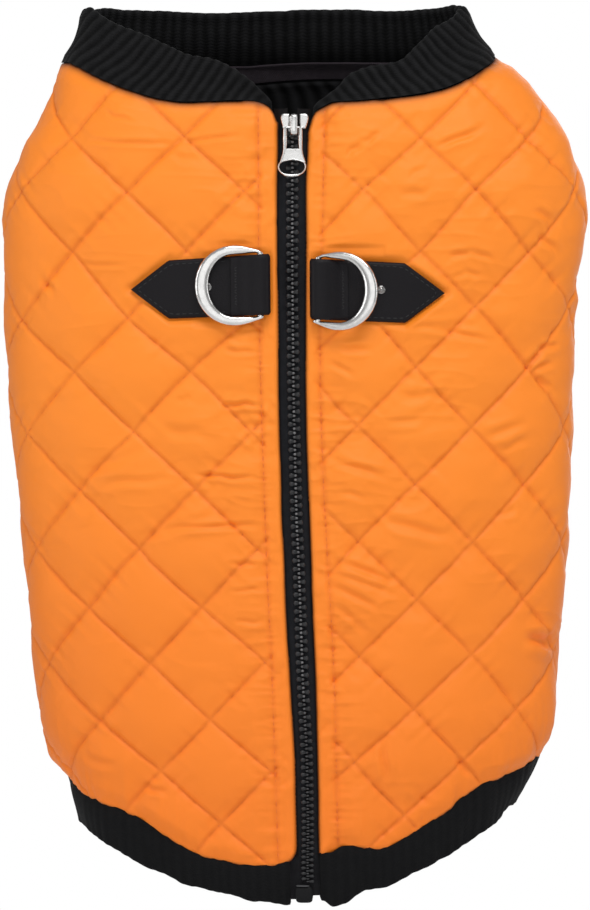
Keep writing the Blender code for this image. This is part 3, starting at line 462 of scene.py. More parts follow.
finishes = {
    "nylon": nylonFinish({"colour": (0.96, 0.25, 0.0135), "lowColour": (0.915, 0.207, 0.0093),
                          "seamShadeAndToneColour": (0.79, 0.165, 0.008), "rimShadowColour": (0.05, 0.009, 0.001),
                          "roughness": 0.5, "threads": 2 * math.pi / 0.42, "lowFrom": -0.14}),
    # each knit's ridge sets how much painted shade falls in its rib grooves
    "knit": knitFinish("blackKnit", {
        "colour": (0.002, 0.002, 0.0022), "ridgeLightAndFleckColour": (0.0135, 0.0135, 0.0145),
        "sheen": 0.03, "ridge": 0.6, "loops": 0.35}),
    "fineKnit": knitFinish("fineBlackKnit", {
        "colour": (0.0045, 0.0045, 0.005), "ridgeLightAndFleckColour": (0.0085, 0.0085, 0.009),
        "sheen": 0.03, "ridge": 0.3, "loops": 0.3}),
    "innerKnit": knitFinish("innerKnit", {
        "colour": (0.002, 0.002, 0.0022), "ridgeLightAndFleckColour": (0.011, 0.011, 0.012),
        "sheen": 0.02, "ridge": 0.9, "loops": 0.08}),
    "lining": wovenFinish("blackLining", {
        "colour": (0.008, 0.008, 0.009), "lightColour": (0.013, 0.013, 0.014), "ridges": 1.6}),
    "neckTape": wovenFinish("purpleGreyTape", {
        "colour": (0.026, 0.02, 0.025), "lightColour": (0.042, 0.034, 0.04), "ridges": 1.2}),
    "zipCloth": wovenFinish("zipTapeCloth", {
        "colour": (0.0105, 0.0115, 0.0145), "lightColour": (0.02, 0.0215, 0.026), "ridges": 2.0}),
    "zipPlastic": plasticFinish("zipPlastic", {
        "colour": (0.009, 0.009, 0.01), "dustColour": (0.017, 0.017, 0.019),
        "crownHighlightColour": (0.15, 0.15, 0.155), "roughness": 0.36, "gloss": 0.4}),
    "boxPlastic": plasticFinish("boxPlastic", {
        "colour": (0.0045, 0.0045, 0.005), "dustColour": (0.007, 0.007, 0.008),
        "crownHighlightColour": (0.12, 0.12, 0.125), "roughness": 0.6, "gloss": 0.15}),
    "strap": leatherFinish({"colour": (0.0062, 0.0052, 0.0066), "wornColour": (0.0115, 0.0098, 0.012)}),
    "nickel": metalFinish("satinNickel", {
        "colour": (0.7, 0.695, 0.685), "dullColour": (0.5, 0.495, 0.485), "roughness": 0.22}),
    # the rivet's nickel is painted darker, standing in for the dark strap and ring it reflects
    "rivetShadedNickel": metalFinish("rivetNickelDarkenedForShade", {
        "colour": (0.3, 0.295, 0.29), "dullColour": (0.2, 0.195, 0.19), "roughness": 0.24}),
    "brightNickel": metalFinish("brightNickel", {
        "colour": (0.67, 0.665, 0.655), "dullColour": (0.52, 0.515, 0.505), "roughness": 0.26}),
    "orangeThread": threadFinish("orangeThread", (0.72, 0.15, 0.009), (0.84, 0.19, 0.012)),
    "blackThread": threadFinish("blackThread", (0.0025, 0.0025, 0.003), (0.007, 0.007, 0.008)),
}
print("finishes made")


def spaced(line, step):
    # the line again, with points a step apart
    line = np.asarray(line, float)
    along = np.concatenate([[0], np.cumsum(np.linalg.norm(np.diff(line, axis=0), axis=1))])
    at = np.linspace(0, along[-1], max(2, round(along[-1] / step) + 1))
    return np.stack([np.interp(at, along, line[:, k]) for k in (0, 1)], axis=1)


def closedLine(stretches, step=0.5):
    return np.concatenate([spaced(line, step)[:-1] for line in stretches])


def seamEnd(side, edge):
    # where the side seam meets the neck or the hem seam, from a first guess that settles
    arc = 150.0
    for _ in range(40):
        height = edge(side, arc)
        arc = 0.5 * (arc + float(halfGirth(side, height) - smoothCurve(height, coatForm["sideSeam"])))
    return arc, float(edge(side, arc))


def legEdge(turns, inwards=0.0):
    # an ellipse in arc length from the belly's middle and height
    arc = coatForm["legArc"] + (coatForm["legHalfWide"] - inwards) * np.cos(turns)
    height = coatForm["legHeight"] + (coatForm["legHalfTall"] - inwards) * np.sin(turns)
    return np.stack([arc, height], axis=1)


def bodyOutline(side, lap):
    # zip edge, hem seam, side seam, leg hole, side seam and neck seam, in turn
    half = coatForm["gap"] / 2
    neckArc, neckHeight = seamEnd(side, neckSeam)
    hemArc, hemHeight = seamEnd(side, hemSeam)
    top, bottom = (coatForm["legHeight"] + k * coatForm["legHalfTall"] for k in (1, -1))
    hemArcs = np.linspace(float(zipEdgeAt(side, -324)), hemArc + lap, 300)
    neckArcs = np.linspace(neckArc + lap, float(zipEdgeAt(side, -25)), 300)
    hemLine = np.stack([hemArcs, hemSeam(side, hemArcs) + half], axis=1)
    neckLine = np.stack([neckArcs, neckSeam(side, neckArcs) - half], axis=1)
    lower, upper = np.linspace(hemHeight + half, bottom, 60), np.linspace(top, neckHeight - half, 40)
    lower, upper = (np.stack([halfGirth(side, h) - smoothCurve(h, coatForm["sideSeam"]) + lap, h], axis=1)
                    for h in (lower, upper))
    hole = legEdge(np.linspace(-0.5 * math.pi, 0.5 * math.pi, 90))
    hole[:, 0] = halfGirth(side, hole[:, 1]) - hole[:, 0]
    hole[0], hole[-1], hemLine[-1], neckLine[0] = lower[-1], upper[0], lower[0], upper[-1]
    zipLine = np.linspace(neckLine[-1], hemLine[0], 120)
    zipLine[1:-1, 0] = zipEdgeAt(side, zipLine[1:-1, 1])
    return closedLine([zipLine, hemLine, lower, hole, upper, neckLine]) * (side, 1)


def bellyOutline(lap):
    # half of each leg hole is cut from its two side seams
    half = coatForm["gap"] / 2
    sides = {}
    for side in (1, -1):
        neckHeight, hemHeight = seamEnd(side, neckSeam)[1] - half, seamEnd(side, hemSeam)[1] + half
        upper = np.linspace(neckHeight, coatForm["legHeight"] + coatForm["legHalfTall"], 40)
        lower = np.linspace(coatForm["legHeight"] - coatForm["legHalfTall"], hemHeight, 60)
        upper, lower = (np.stack([smoothCurve(h, coatForm["sideSeam"]) + lap, h], axis=1)
                        for h in (upper, lower))
        hole = legEdge(np.linspace(0.5 * math.pi, 1.5 * math.pi, 90))
        hole[0], hole[-1] = upper[-1], lower[0]
        arcs = np.linspace(lower[-1, 0], 0, 120)
        height = np.full(len(arcs), -250.0)  # a first guess, settled by the seam's own height
        for _ in range(20):
            height = hemSeam(side, halfGirth(side, height) - arcs)
        hemLine = np.stack([arcs, height + half], axis=1)
        hemLine[0] = lower[-1]
        sides[side] = [upper, hole, lower, hemLine]
    left = [line[::-1] * (-1, 1) for line in sides[-1][::-1]]
    left[0][0] = sides[1][-1][-1]
    top = np.array([left[-1][-1], sides[1][0][0]])
    return closedLine([top, *sides[1], *left])


def nearest(points, line):
    # index of, and distance to, the nearest of the line's close points, in blocks
    found, far = [], []
    for block in np.array_split(points, max(1, len(points) // 6000)):
        apart = ((block ** 2).sum(1)[:, None] + (line ** 2).sum(1)[None] - 2 * block @ line.T)
        best = apart.argmin(axis=1)
        found.append(best)
        far.append(np.sqrt(np.maximum(apart[np.arange(len(best)), best], 0)))
    return np.concatenate(found), np.concatenate(far)


def rowsInside(outline, xs, ys):
    # which points of a grid lie inside: an odd number of the outline's crossings lies to their left
    a, b = outline, np.roll(outline, -1, axis=0)
    spans = (a[:, 1] > ys[:, None]) != (b[:, 1] > ys[:, None])
    run = np.where(a[:, 1] == b[:, 1], 1, b[:, 1] - a[:, 1])
    cross = np.where(spans, a[:, 0] + (ys[:, None] - a[:, 1]) / run * (b[:, 0] - a[:, 0]), np.inf)
    cross = np.sort(cross, axis=1)[:, :12]
    return (cross[:, None, :] < xs[None, :, None]).sum(axis=2) % 2 == 1


def pointsInside(outline, points):
    a, b = outline, np.roll(outline, -1, axis=0)
    spans = (a[:, 1] > points[:, 1:]) != (b[:, 1] > points[:, 1:])
    run = np.where(a[:, 1] == b[:, 1], 1, b[:, 1] - a[:, 1])
    cross = a[:, 0] + (points[:, 1:] - a[:, 1]) / run * (b[:, 0] - a[:, 0])
    return (spans & (cross > points[:, :1])).sum(axis=1) % 2 == 1


def cutCloth(outline, step):
    # square cells over an outline; corners just outside it are drawn in to its edge
    low, high = outline.min(axis=0) - 1.5 * step, outline.max(axis=0) + 1.5 * step
    xs, ys = (np.arange(low[k], high[k] + step, step) for k in (0, 1))
    within = rowsInside(outline, xs, ys)
    quads = gridQuads(len(ys), len(xs))
    quads = quads[within.ravel()[quads].any(axis=1)]
    used, quads = np.unique(quads, return_inverse=True)
    points = np.stack(np.meshgrid(xs, ys), axis=-1).reshape(-1, 2)[used]
    outside = ~within.ravel()[used]
    points[outside] = outline[nearest(points[outside], outline)[0]]
    return points, quads.reshape(-1, 4)


tabs = {
    "left": {"side": -1, "end": 10.1, "height": -91.5, "drop": -2.1, "rivet": 24.6, "rivetUp": 0.2,
             "lift": 1.5, "slack": 1.0, "shoulder": 40.5, "tip": 56.1, "foldHalf": 12.45,
             "shoulderHalf": 11.9, "ringHeight": -91.5, "ringTilt": 2.5, "ringHalf": 16.5,
             "ringLong": 26.9, "ringInner": 13.0},
    "right": {"side": 1, "end": 7.3, "height": -93.35, "drop": -1.65, "rivet": 28.6, "rivetUp": 0.9,
              "lift": 14, "slack": 0.4, "shoulder": 38.4, "tip": 54.8, "foldHalf": 12.4,
              "shoulderHalf": 12.2, "ringHeight": -93.25, "ringTilt": 6.5, "ringHalf": 16.2,
              "ringLong": 25.1, "ringInner": 13.2},
}
strap = {"thick": 1.5, "stitchAt": 13.0, "gap": 0.3, "flapOut": 2.1, "bar": 1.25, "tipPoints": 46}
# how far out the cloth may puff under a ring and under a strap, and how fast that grows beside them
room = {"ring": 1.2, "ringReach": (3, 30), "ringHalf": 17, "ringGrow": 1.2, "lift": 2,
        "strap": 0.15, "strapGrow": 1.5}
threads = {"quiltPitch": 3.1, "quiltRadius": 0.22, "placketPitch": 3.0, "placketRadius": 0.24,
           "tabPitch": 2.6, "tabRadius": 0.24}

quilting = {
    # height and arc of the middle column of crossings, the columns' spacing, and each row's height
    "start": {
        -1: [(20, 45), (-31, 44.4), (-77, 43.5), (-127, 42.7), (-175, 41.8), (-223, 40.2),
             (-270, 37.8), (-312, 34.5), (-350, 31)],
        0: [(30, 0), (-350, 0)],
        1: [(20, 53), (-31, 52.6), (-100, 51.4), (-150, 49), (-221, 48), (-265, 45), (-308, 40.4),
            (-350, 36)],
    },
    "wide": {
        -1: [(20, 24), (-100, 24.4), (-200, 24.3), (-250, 23.5), (-350, 22.6)],
        0: [(30, 24.3), (-350, 24.3)],
        1: [(20, 22.5), (-80, 23.6), (-230, 23.4), (-290, 22.3), (-350, 22)],
    },
    "rows": {
        -1: [(17, -2), (-7, -1), (-31, 0), (-54, 1), (-78, 2), (-105.4, 3), (-127, 4), (-151.9, 5),
             (-175.5, 6), (-199.6, 7), (-223.5, 8), (-246, 9), (-269.7, 10), (-290.6, 11),
             (-312.1, 12), (-334, 13), (-356, 14)],
        0: [(16.4, -2), (-7.3, -1), (-31, 0), (-78.4, 2), (-125.8, 4), (-173.2, 6), (-220.6, 8),
            (-268, 10), (-291.7, 11)],
        1: [(16, -2), (-9, -1), (-32, 0), (-53, 1), (-77.8, 2), (-100.4, 3), (-125, 4), (-149.4, 5),
            (-173.2, 6), (-197, 7), (-220.7, 8), (-243, 9), (-264.9, 10), (-286.2, 11), (-308, 12),
            (-330, 13), (-352, 14)],
    },
    "spacing": 33.9, "rise": 2.9, "roundness": 0.5, "grooveDeep": 0.5, "grooveWide": 0.6,
    "puckerDeep": 0.5, "puckerReach": 5.5, "stitchDeep": 0.16, "stitchWide": 0.7,
    # a cell's usual swelling and its spread, what is left of the pattern's waves at the coat's sides,
    # where that begins and ends, and how loose the cloth hangs
    "cell": 0.9, "cellSpread": 0.25, "sideCalm": {-1: 0.5, 0: 0.0, 1: 0.3}, "sideReach": (96, 120),
    "sideSwell": 0.8, "loose": {-1: 0.42, 0: 0.6, 1: 0.72}, "looseByZip": 0.35,
}
placket = {
    # height and arc of the line of stitching beside the zip, on each side
    -1: [(-15, 14.0), (-139, 13.6), (-323, 11.5), (-340, 11.3)],
    1: [(-15, 13.4), (-60, 12.4), (-139, 10.6), (-262, 13.0), (-340, 13.1)],
    "deep": 0.7, "wide": 0.85, "puckerDeep": 0.5, "puckerReach": 7.0, "swell": 0.75,
    "tickDeep": 0.45, "tickLong": 2.6, "tickPitch": 2.6,
}
# gathers drawn in by the seams: how deep they are, and how far they reach into the panel,
# at the leg holes as a share of the hole's size
gathers = {"neck": (0.32, 6), "hem": (0.85, 15), "leg": (0.75, 1 / 3)}
# creases by side: how far across as seen from the zip side and how high each end is, how deep, how wide
creases = {
    -1: [
        (82, -33.6, 48.4, -33.8, 0.8, 0.9), (44.5, -34, 21, -30.8, 0.8, 0.9),
        (77, -21.7, 64.5, -26.2, 0.6, 0.9), (48.5, -39.4, 38, -41, 0.5, 1.6),
        (86.5, -83.2, 66.5, -82.8, 0.6, 1.0), (28.5, -140, 14.5, -140.4, 1.1, 1.0),
        (47.5, -139, 41, -137.8, 0.5, 1.6), (52.5, -150.5, 33.5, -152.5, 0.8, 2.4),
        (80, -166.5, 57, -155.8, 0.6, 2.2), (78, -172.6, 50.5, -170.6, 0.6, 1.6),
        (39, -169.3, 16.5, -170.2, 1.1, 1.0), (47.5, -190.7, 14.5, -188.6, 1.0, 1.1),
        (63, -195, 25.5, -184, 0.5, 1.8), (103, -89.4, 97, -95.5, 0.7, 1.4),
        (61, -296, 50.5, -300, 0.8, 1.3), (86, -283.3, 72, -287.4, 0.6, 1.5),
        (28, -118, 15, -119, 0.7, 1.1), (26, -205, 13, -205.5, 0.6, 0.9),
        (25, -216, 12, -216.5, 0.6, 0.9), (24, -229, 12, -229.3, 0.5, 0.9),
    ],
    0: [
        (-30, -110, -8, -106, 0.7, 2.4), (14, -160, 38, -155, 0.7, 2.4),
        (-54, -196, -34, -190, 0.6, 2.2), (30, -62, 52, -58, 0.6, 2.2), (44, -214, 60, -226, 0.6, 2.2),
    ],
    1: [
        (21.7, -39, 28.3, -33.6, 0.7, 1.2), (27.5, -34, 36.5, -30.3, 0.8, 1.2),
        (57.8, -35.7, 78.7, -27.1, 1.0, 1.3), (44, -54.5, 56.6, -53.7, 0.6, 1.6),
        (47, -48.4, 55.5, -43, 0.5, 1.4), (98, -61, 106, -66, 1.0, 1.4),
        (100, -71, 108, -78.7, 1.0, 1.4), (64, -80, 72.6, -78.3, 0.8, 1.3),
        (72, -78.2, 82.8, -82, 0.8, 1.3), (65, -89.4, 70.3, -86.1, 0.6, 1.2),
        (70, -86.1, 76.7, -88.2, 0.6, 1.2), (55.4, -109.5, 82, -114.8, 0.9, 1.3),
        (48, -109.5, 74.6, -108.2, 0.6, 1.3), (94.7, -127, 102, -117.5, 1.0, 1.3),
        (101, -117, 109, -115.6, 1.0, 1.3), (97.6, -127, 107, -123, 0.9, 1.3),
        (99.5, -129.6, 107, -135.7, 0.8, 1.3), (43, -137.8, 62, -136.9, 0.8, 2.0),
        (17, -117, 32.4, -118.1, 0.8, 1.3), (15, -123, 25.8, -129.6, 0.7, 1.3),
        (38.5, -147.2, 53.3, -146.4, 0.6, 1.8), (78.7, -153.8, 95.5, -147.2, 0.8, 1.8),
        (83.6, -159, 95.5, -155, 0.5, 1.5), (16, -163.2, 39.8, -170.6, 1.0, 1.6),
        (19.7, -176, 29.5, -179.2, 0.6, 1.3), (38.5, -188.6, 66, -194.8, 1.0, 2.0),
        (85, -186.6, 91.4, -182, 0.6, 1.4), (17, -203.4, 45, -214.8, 1.0, 1.5),
        (17, -209, 43, -218.4, 0.6, 1.2), (17, -215, 36.5, -224.3, 0.9, 1.4),
        (17, -222.4, 30.3, -233, 0.7, 1.3), (36.5, -279.2, 37.7, -294, 0.9, 1.4),
        (66, -285.4, 73.4, -292, 0.9, 1.4), (95, -235.5, 106.5, -238, 2.2, 2.4),
    ],
}


def arcSeen(side, across, height):
    # the arc from the zip at which the form lies this far to the side
    if side == 0:
        return across
    arcs = np.linspace(0, 118, 473)
    seen = fromZip(side * arcs, np.full(len(arcs), float(height)), 1.5)[:, 0] * side
    return float(np.interp(across, np.maximum.accumulate(seen), arcs))


for side, rows in creases.items():
    creases[side] = [(arcSeen(side, x1, z1), z1, arcSeen(side, x2, z2), z2, deep, wide)
                     for x1, z1, x2, z2, deep, wide in rows]


def tabMiddle(tab, along):
    return tab["height"] + tab["drop"] * np.clip(along / tab["shoulder"], 0, 1)


def tabHalf(tab, along):
    # half the strap's width, narrowing to nothing at the tip
    share = np.clip(along / tab["shoulder"], 0, 1)
    straight = tab["foldHalf"] + (tab["shoulderHalf"] - tab["foldHalf"]) * share
    return straight * np.clip((tab["tip"] - along) / (tab["tip"] - tab["shoulder"]), 0, 1)


def tabDistance(tab, along, height):
    # how far a place lies from the tab's pointed shape, or 0 under it
    beside = np.maximum(np.abs(height - tabMiddle(tab, along)) - tabHalf(tab, along), 0)
    beyond = np.maximum(np.maximum(-tab["slack"] - along, along - tab["tip"]), 0)
    return np.hypot(beside, beyond)


def tabShare(side, arc, height):
    # 0 under a tab and 1 well clear of it
    if side == 0:
        return np.ones(np.shape(arc))
    tab = tabs["left" if side < 0 else "right"]
    return eased(tabDistance(tab, side * arc - tab["end"], height), 0.2, 3.5)


def underMetal(side, arc, height):
    # how far out the cloth may puff: little under a tab or a ring, and more with the distance from it
    if side == 0:
        return np.full(np.shape(arc), 9.0)
    tab = tabs["left" if side < 0 else "right"]
    along, beside = side * arc - tab["end"], np.abs(height - tab["ringHeight"])
    near, far = room["ringReach"]
    slope = math.sin(math.radians(min(tab["lift"], room["lift"])))
    lifted = room["ring"] + slope * np.clip(along - 4, 0, 24)
    beyond = np.hypot(np.maximum(np.maximum(near - along, along - far), 0),
                      np.maximum(beside - room["ringHalf"], 0))
    return np.minimum(lifted + room["ringGrow"] * beyond,
                      room["strap"] + room["strapGrow"] * tabDistance(tab, along, height))


def wander(arc, height, seed):
    # sewing lines are never quite straight
    return (0.7 * softNoise(arc / 31 + 5, height / 27, seed)
            + 0.25 * softNoise(arc / 9, height / 9 + 3, seed + 1))


def quiltPlace(side, arc, height):
    # how many half squares across and down a place is
    q = quilting
    across = (side or 1) * arc - smoothCurve(height, q["start"][side])
    return across / smoothCurve(height, q["wide"][side]), smoothCurve(height, q["rows"][side])


def crumpled(arc, height, nearZip, seed):
    # patches of soft folds that lie mostly level: sharp ridges where a stretched noise passes zero
    patch = eased(softNoise(arc / 27 + 7, height / 21, seed), -0.35, 0.45)
    bend = height + 1.6 * softNoise(arc / 15, height / 15, seed + 1)
    folds = np.exp(-(softNoise(arc / 21, bend / 6.2, seed + 2) / 0.2) ** 2)
    small = np.exp(-(softNoise(arc / 11, bend / 3.3, seed + 3) / 0.25) ** 2)
    broad = softNoise(arc / 19, height / 13, seed + 4) + 0.5 * softNoise(arc / 12, bend / 5, seed + 5)
    return 0.7 * broad + patch * (0.55 * folds + 0.2 * small) * (0.75 + 0.5 * nearZip)


def paddingOut(panel, arc, edge, place):
    # a product of two sines to a power: high in each square's middle and nothing along its seams
    q, side = quilting, panel["side"]
    one, two = place["one"], place["two"]
    spread = softNoise(np.floor(one) * 3.7, np.floor(two) * 2.9, panel["seed"] + 3)
    cell = q["cell"] + q["cellSpread"] * spread
    swell = (np.abs(np.sin(math.pi * one)) * np.abs(np.sin(math.pi * two)) + 1e-9) ** q["roundness"]
    swell = swell * (1 - place["limb"]) + q["sideSwell"] * place["limb"]
    swell = swell * place["past"] + placket["swell"] * (1 - place["past"])
    nearZip = 1.0 if side == 0 else 0.42 + 0.58 * eased(np.abs(arc), 12, 21)
    return q["rise"] * swell * nearZip * cell * place["calm"] * eased(edge, 0, 8)


def creasesOut(side, arc, height, edge, seed):
    # each crease is a bell-shaped groove between two low shoulders, fading out at both ends
    out = 0
    sign = side if side else 1
    for x1, z1, x2, z2, deep, wide in creases[side]:
        run = np.array([x2 - x1, z2 - z1], float)
        long = np.hypot(*run)
        along = ((sign * arc - x1) * run[0] + (height - z1) * run[1]) / long ** 2
        off = ((sign * arc - x1) * run[1] - (height - z1) * run[0]) / long
        off = off + 0.8 * softNoise(along * 3, np.full(np.shape(arc), x1 * 1.3), seed + 17)
        fade = eased(along, -0.15, 0.3) * (1 - eased(along, 0.6, 1.1))
        shoulder = np.exp(-((np.abs(off) - 1.9 * wide) / (1.1 * wide)) ** 2) * eased(edge, 0, 4)
        out = out - deep * fade * np.exp(-(off / wide) ** 2)
        out = out + 0.6 * deep * fade * shoulder
    return out


def gathersOut(side, arc, height, edge, seed):
    # noise that runs across each seam and dies away from it
    if side:
        toNeck = neckSeam(side, np.abs(arc)) - height
        toHem = height - hemSeam(side, np.abs(arc))
        aroundLeg = halfGirth(side, height) - np.abs(arc)
    else:
        toNeck, aroundLeg = -height, np.abs(arc)
        toHem = np.minimum(99.0, np.maximum(edge, 0) + 60 * eased(height, -235, -225))
    deep, reach = gathers["neck"]
    out = deep * softNoise(arc / 2.7, height / 30 + 4, seed + 13) * np.exp(-np.maximum(toNeck, 0) / reach)
    deep, reach = gathers["hem"]
    gather = (softNoise(arc / 4.6, height / 60 + 9, seed + 14)
              + 0.5 * softNoise(arc / 2.1, height / 30, seed + 15))
    out = out + deep * gather * np.exp(-np.maximum(toHem, 0) / reach)
    deep, reach = gathers["leg"]
    legX, legY = aroundLeg - coatForm["legArc"], height - coatForm["legHeight"]
    toLeg = np.hypot(legX / coatForm["legHalfWide"], legY / coatForm["legHalfTall"]) - 1
    turn = np.arctan2(legY, legX)
    gather = softNoise(turn * 6.5 + 30, toLeg * 1.5 + 10, seed + 16)
    return out + deep * gather * np.exp(-np.maximum(toLeg, 0) / reach)


def placketOut(arc, height, edge, calm, away, seed):
    # beside the zip: fine puckers across the line of stitching, its ticks, and the groove it sews
    fine = (softNoise(np.abs(arc) / 9, height / 1.55, seed + 11)
            + 0.7 * softNoise(np.abs(arc) / 14, height / 3.4, seed + 12))
    reach = np.where(away > 0, placket["puckerReach"], 2.4)
    out = calm * placket["puckerDeep"] * fine * np.exp(-np.abs(away) / reach)
    unevenly = 0.5 * softNoise(height / 9, height * 0, seed + 8)
    tick = 0.5 + 0.5 * np.cos(2 * math.pi * (height / placket["tickPitch"] + unevenly))
    some = eased(softNoise(height / 7, height * 0 + 3, seed + 9), -0.5, 0.5) * eased(-height, 90, 120)
    beside = np.exp(-(away / placket["tickLong"]) ** 2)
    out = out - placket["tickDeep"] * tick ** 3 * some * beside * calm
    sewn = np.exp(-(away / placket["wide"]) ** 2) * eased(edge, 0.4, 2.4)
    stitch = 0.5 + 0.5 * np.cos(height * 2 * math.pi / threads["placketPitch"])
    return out - placket["deep"] * sewn * (0.75 + 0.25 * stitch)


def quiltedOut(panel, arc, height, edge):
    # padding that swells between the seams, sewn grooves, puckers across the seams, folds and creases
    side, seed = panel["side"], panel["seed"]
    q, s = quilting, quilting["spacing"]
    column, row = quiltPlace(side, arc + wander(arc, height, seed), height + wander(arc, height, seed + 2))
    one, two = (column - row) / 2, (column + row) / 2
    oneFar, twoFar = (np.abs(k - np.round(k)) * s for k in (one, two))
    calm = tabShare(side, arc, height)
    fromEdge = 99.0 if side == 0 else np.abs(arc) - zipEdgeAt(side, height)
    away = 99.0 if side == 0 else np.abs(arc) - smoothCurve(height, placket[side])
    past = eased(away, -2.4, -0.6)
    atZip = past * eased(edge, 0.4, 2.4)
    limb = q["sideCalm"][side] * eased(np.abs(arc), *q["sideReach"])
    place = {"one": one, "two": two, "calm": calm, "past": past, "limb": limb}
    out = paddingOut(panel, arc, edge, place)
    groove, seam = 0, 0
    for far, along, line in ((oneFar, two, np.round(one)), (twoFar, one, np.round(two))):
        groove = np.maximum(groove, np.exp(-(far / q["grooveWide"]) ** 2))
        seam = np.maximum(seam, np.exp(-(far / 0.8) ** 2))
        hand = line * 13.7 + np.sign(along) * 3.1  # another place in the noise for each line's sides
        pucker = softNoise(along * s / 2.6, hand, seed + 5) * np.exp(-far / q["puckerReach"])
        stitch = 0.5 + 0.5 * np.cos(along * s * 2 * math.pi / threads["quiltPitch"])
        out = out + q["puckerDeep"] * pucker * calm
        out = out - q["stitchDeep"] * stitch * np.exp(-(far / q["stitchWide"]) ** 2)
    out = out - q["grooveDeep"] * groove * (0.4 + 0.6 * calm) * atZip * (1 - limb)
    beside = np.zeros(np.shape(arc)) if side == 0 else np.exp(-np.maximum(np.abs(arc) - 13, 0) / 22)
    loose = q["loose"][side] * (1 - 0.5 * eased(-height, 225, 262)) + q["looseByZip"] * beside
    folds = crumpled(arc, height, beside, seed + 20)
    out = out + loose * calm * (0.25 + 0.75 * eased(edge, 0, 6)) * folds
    if side:
        out = out + placketOut(arc, height, edge, calm, away, seed)
        out = out + 0.5 * np.exp(-((fromEdge - 2.2) / 1.6) ** 2)  # the turned edge beside the zip is fuller
        seam = np.maximum(seam, np.exp(-(away / 1.1) ** 2))
    out = out + gathersOut(side, arc, height, edge, seed) + creasesOut(side, arc, height, edge, seed)
    limit, soft = underMetal(side, arc, height), 0.35
    out = -soft * np.logaddexp(-out / soft, -limit / soft)
    tuck = 1 - np.clip(edge / panel["tuckWide"], 0, 1)
    deep = panel["tuckDeep"] * (1 + 0.4 * (1 - eased(fromEdge, 0.5, 3)))
    out = out - deep * (1 - np.sqrt(np.maximum(1 - tuck ** 2, 0)))
    # the second value marks the seam lines, where the painted shade goes
    return out, np.clip(seam * calm * atZip, 0, 1)


def quiltedPanel(panel):
    # the cut cloth laid on the form, with its padding
    points, quads = cutCloth(panel["outline"], panel["cell"])
    edge = nearest(points, panel["outline"])[1]
    arc, height = points.T
    out, seam = quiltedOut(panel, arc, height, edge)
    placed = panel["place"](arc, height, out)
    if panel["side"] < 0:
        quads = quads[:, ::-1]
    toNeck = 99.0 if panel["side"] == 0 else neckSeam(panel["side"], np.abs(arc)) - height
    # width and strength of the painted shadow along the panel's edges, wider below the collar
    rimShadowWide = 0.75 + 1.35 * (toNeck < 5) * eased(np.abs(arc), 8, 13)
    rimShadowStrong = 0.35 if panel["side"] == 0 else np.where((toNeck < 5) | (np.abs(arc) < 90), 1.0, 0.35)
    made = meshPiece(panel["name"], placed, quads, finishes["nylon"], "quilted_shell",
                     uv=points, marks={"seam": seam, "rim": rimShadowStrong * np.exp(-(edge / rimShadowWide) ** 2)})
    inner, innerQuads = cutCloth(panel["liningOutline"], panel["liningCell"])
    arc, height = inner.T
    puff = 0.8 * quiltedOut({**panel, "tuckDeep": 0}, arc, height, np.full(len(arc), 20.0))[0]
    depth = coatForm["wall"] + 0.12 * puff + (0.3 if panel["side"] == 0 else 0)
    lining = meshPiece(panel["name"] + "Lining", panel["place"](arc, height, -depth), innerQuads,
                       finishes["lining"], "rib_knit", uv=inner)
    shoelace = panel["outline"], np.roll(panel["outline"], -1, axis=0)
    area = 0.5 * abs((shoelace[0][:, 0] * shoelace[1][:, 1] - shoelace[1][:, 0] * shoelace[0][:, 1]).sum())
    size = panel["outline"].max(axis=0) - panel["outline"].min(axis=0)
    for cloth in (made, lining):
        size[0] * mm
        size[1] * mm
        area * mm * mm
    return made


panels = [{"name": "shellLeft", "node": "body_left", "side": -1, "seed": 11, "place": fromZip},
          {"name": "shellRight", "node": "body_right", "side": 1, "seed": 41, "place": fromZip},
          {"name": "shellBelly", "node": "belly_panel", "side": 0, "seed": 71, "place": fromBelly}]
for panel in panels:
    # the cut pieces lap a little at the side seams, and their linings more
    for word, lap in (("outline", 0.15), ("liningOutline", 1.2)):
        panel[word] = bodyOutline(panel["side"], lap) if panel["side"] else bellyOutline(lap)
    panel.update({"liningCell": 3.0, "tuckWide": 1.8, "tuckDeep": 1.5})
    panel["cell"] = 0.8 if panel["side"] else 1.0
    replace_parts(quiltedPanel(panel), panel["node"])
print("quilted panels made")


collarBand = {"pitch": 4.8, "columns": 12, "start": 8.2, "leanLeft": math.radians(24),
              "leanRight": math.radians(33), "thick": 3.6, "thinner": 1.0, "ribDeep": 0.8,
              "ripple": 0.22, "rounded": 1.5, "tall": 50}
hemBand = {"pitch": 4.0, "columns": 9, "startRight": 5.2, "startLeft": 6.7, "over": 1.3, "half": 1.25,
           "ribDeep": 0.12, "tall": 36}
legBand = {"ribs": 44, "columns": 10, "half": 1.5, "ribDeep": 0.42, "ripple": 0.3, "over": -1.2,
           "deep": 8.1, "sink": -1.4, "long": 210, "tall": 16}


def aroundCoat(start, startLeft, step, seam):
    # places from the zip's right edge, round the belly, to its left edge, from a guess that settles
    rightHalf = 200.0
    for _ in range(20):
        rightHalf = float(halfGirth(1, seam(1, rightHalf)))
    leftHalf = float(halfGirth(-1, seam(1, rightHalf)))
    total = rightHalf + leftHalf - start - startLeft
    place = start + np.linspace(0, total, round(total / step) + 1)
    side = np.where(place <= rightHalf, 1, -1)
    return side, np.where(side > 0, place, rightHalf + leftHalf - place), place - start, total


def bySide(side, arc, rows, left, right):
    return np.where(side < 0, smoothCurve(arc, rows, left), smoothCurve(arc, rows, right))


def ribShape(phase):
    # broad ridges and narrow grooves: a cosine drawn towards its top
    wave = 0.5 + 0.5 * np.cos(2 * math.pi * phase)
    return wave ** 0.7


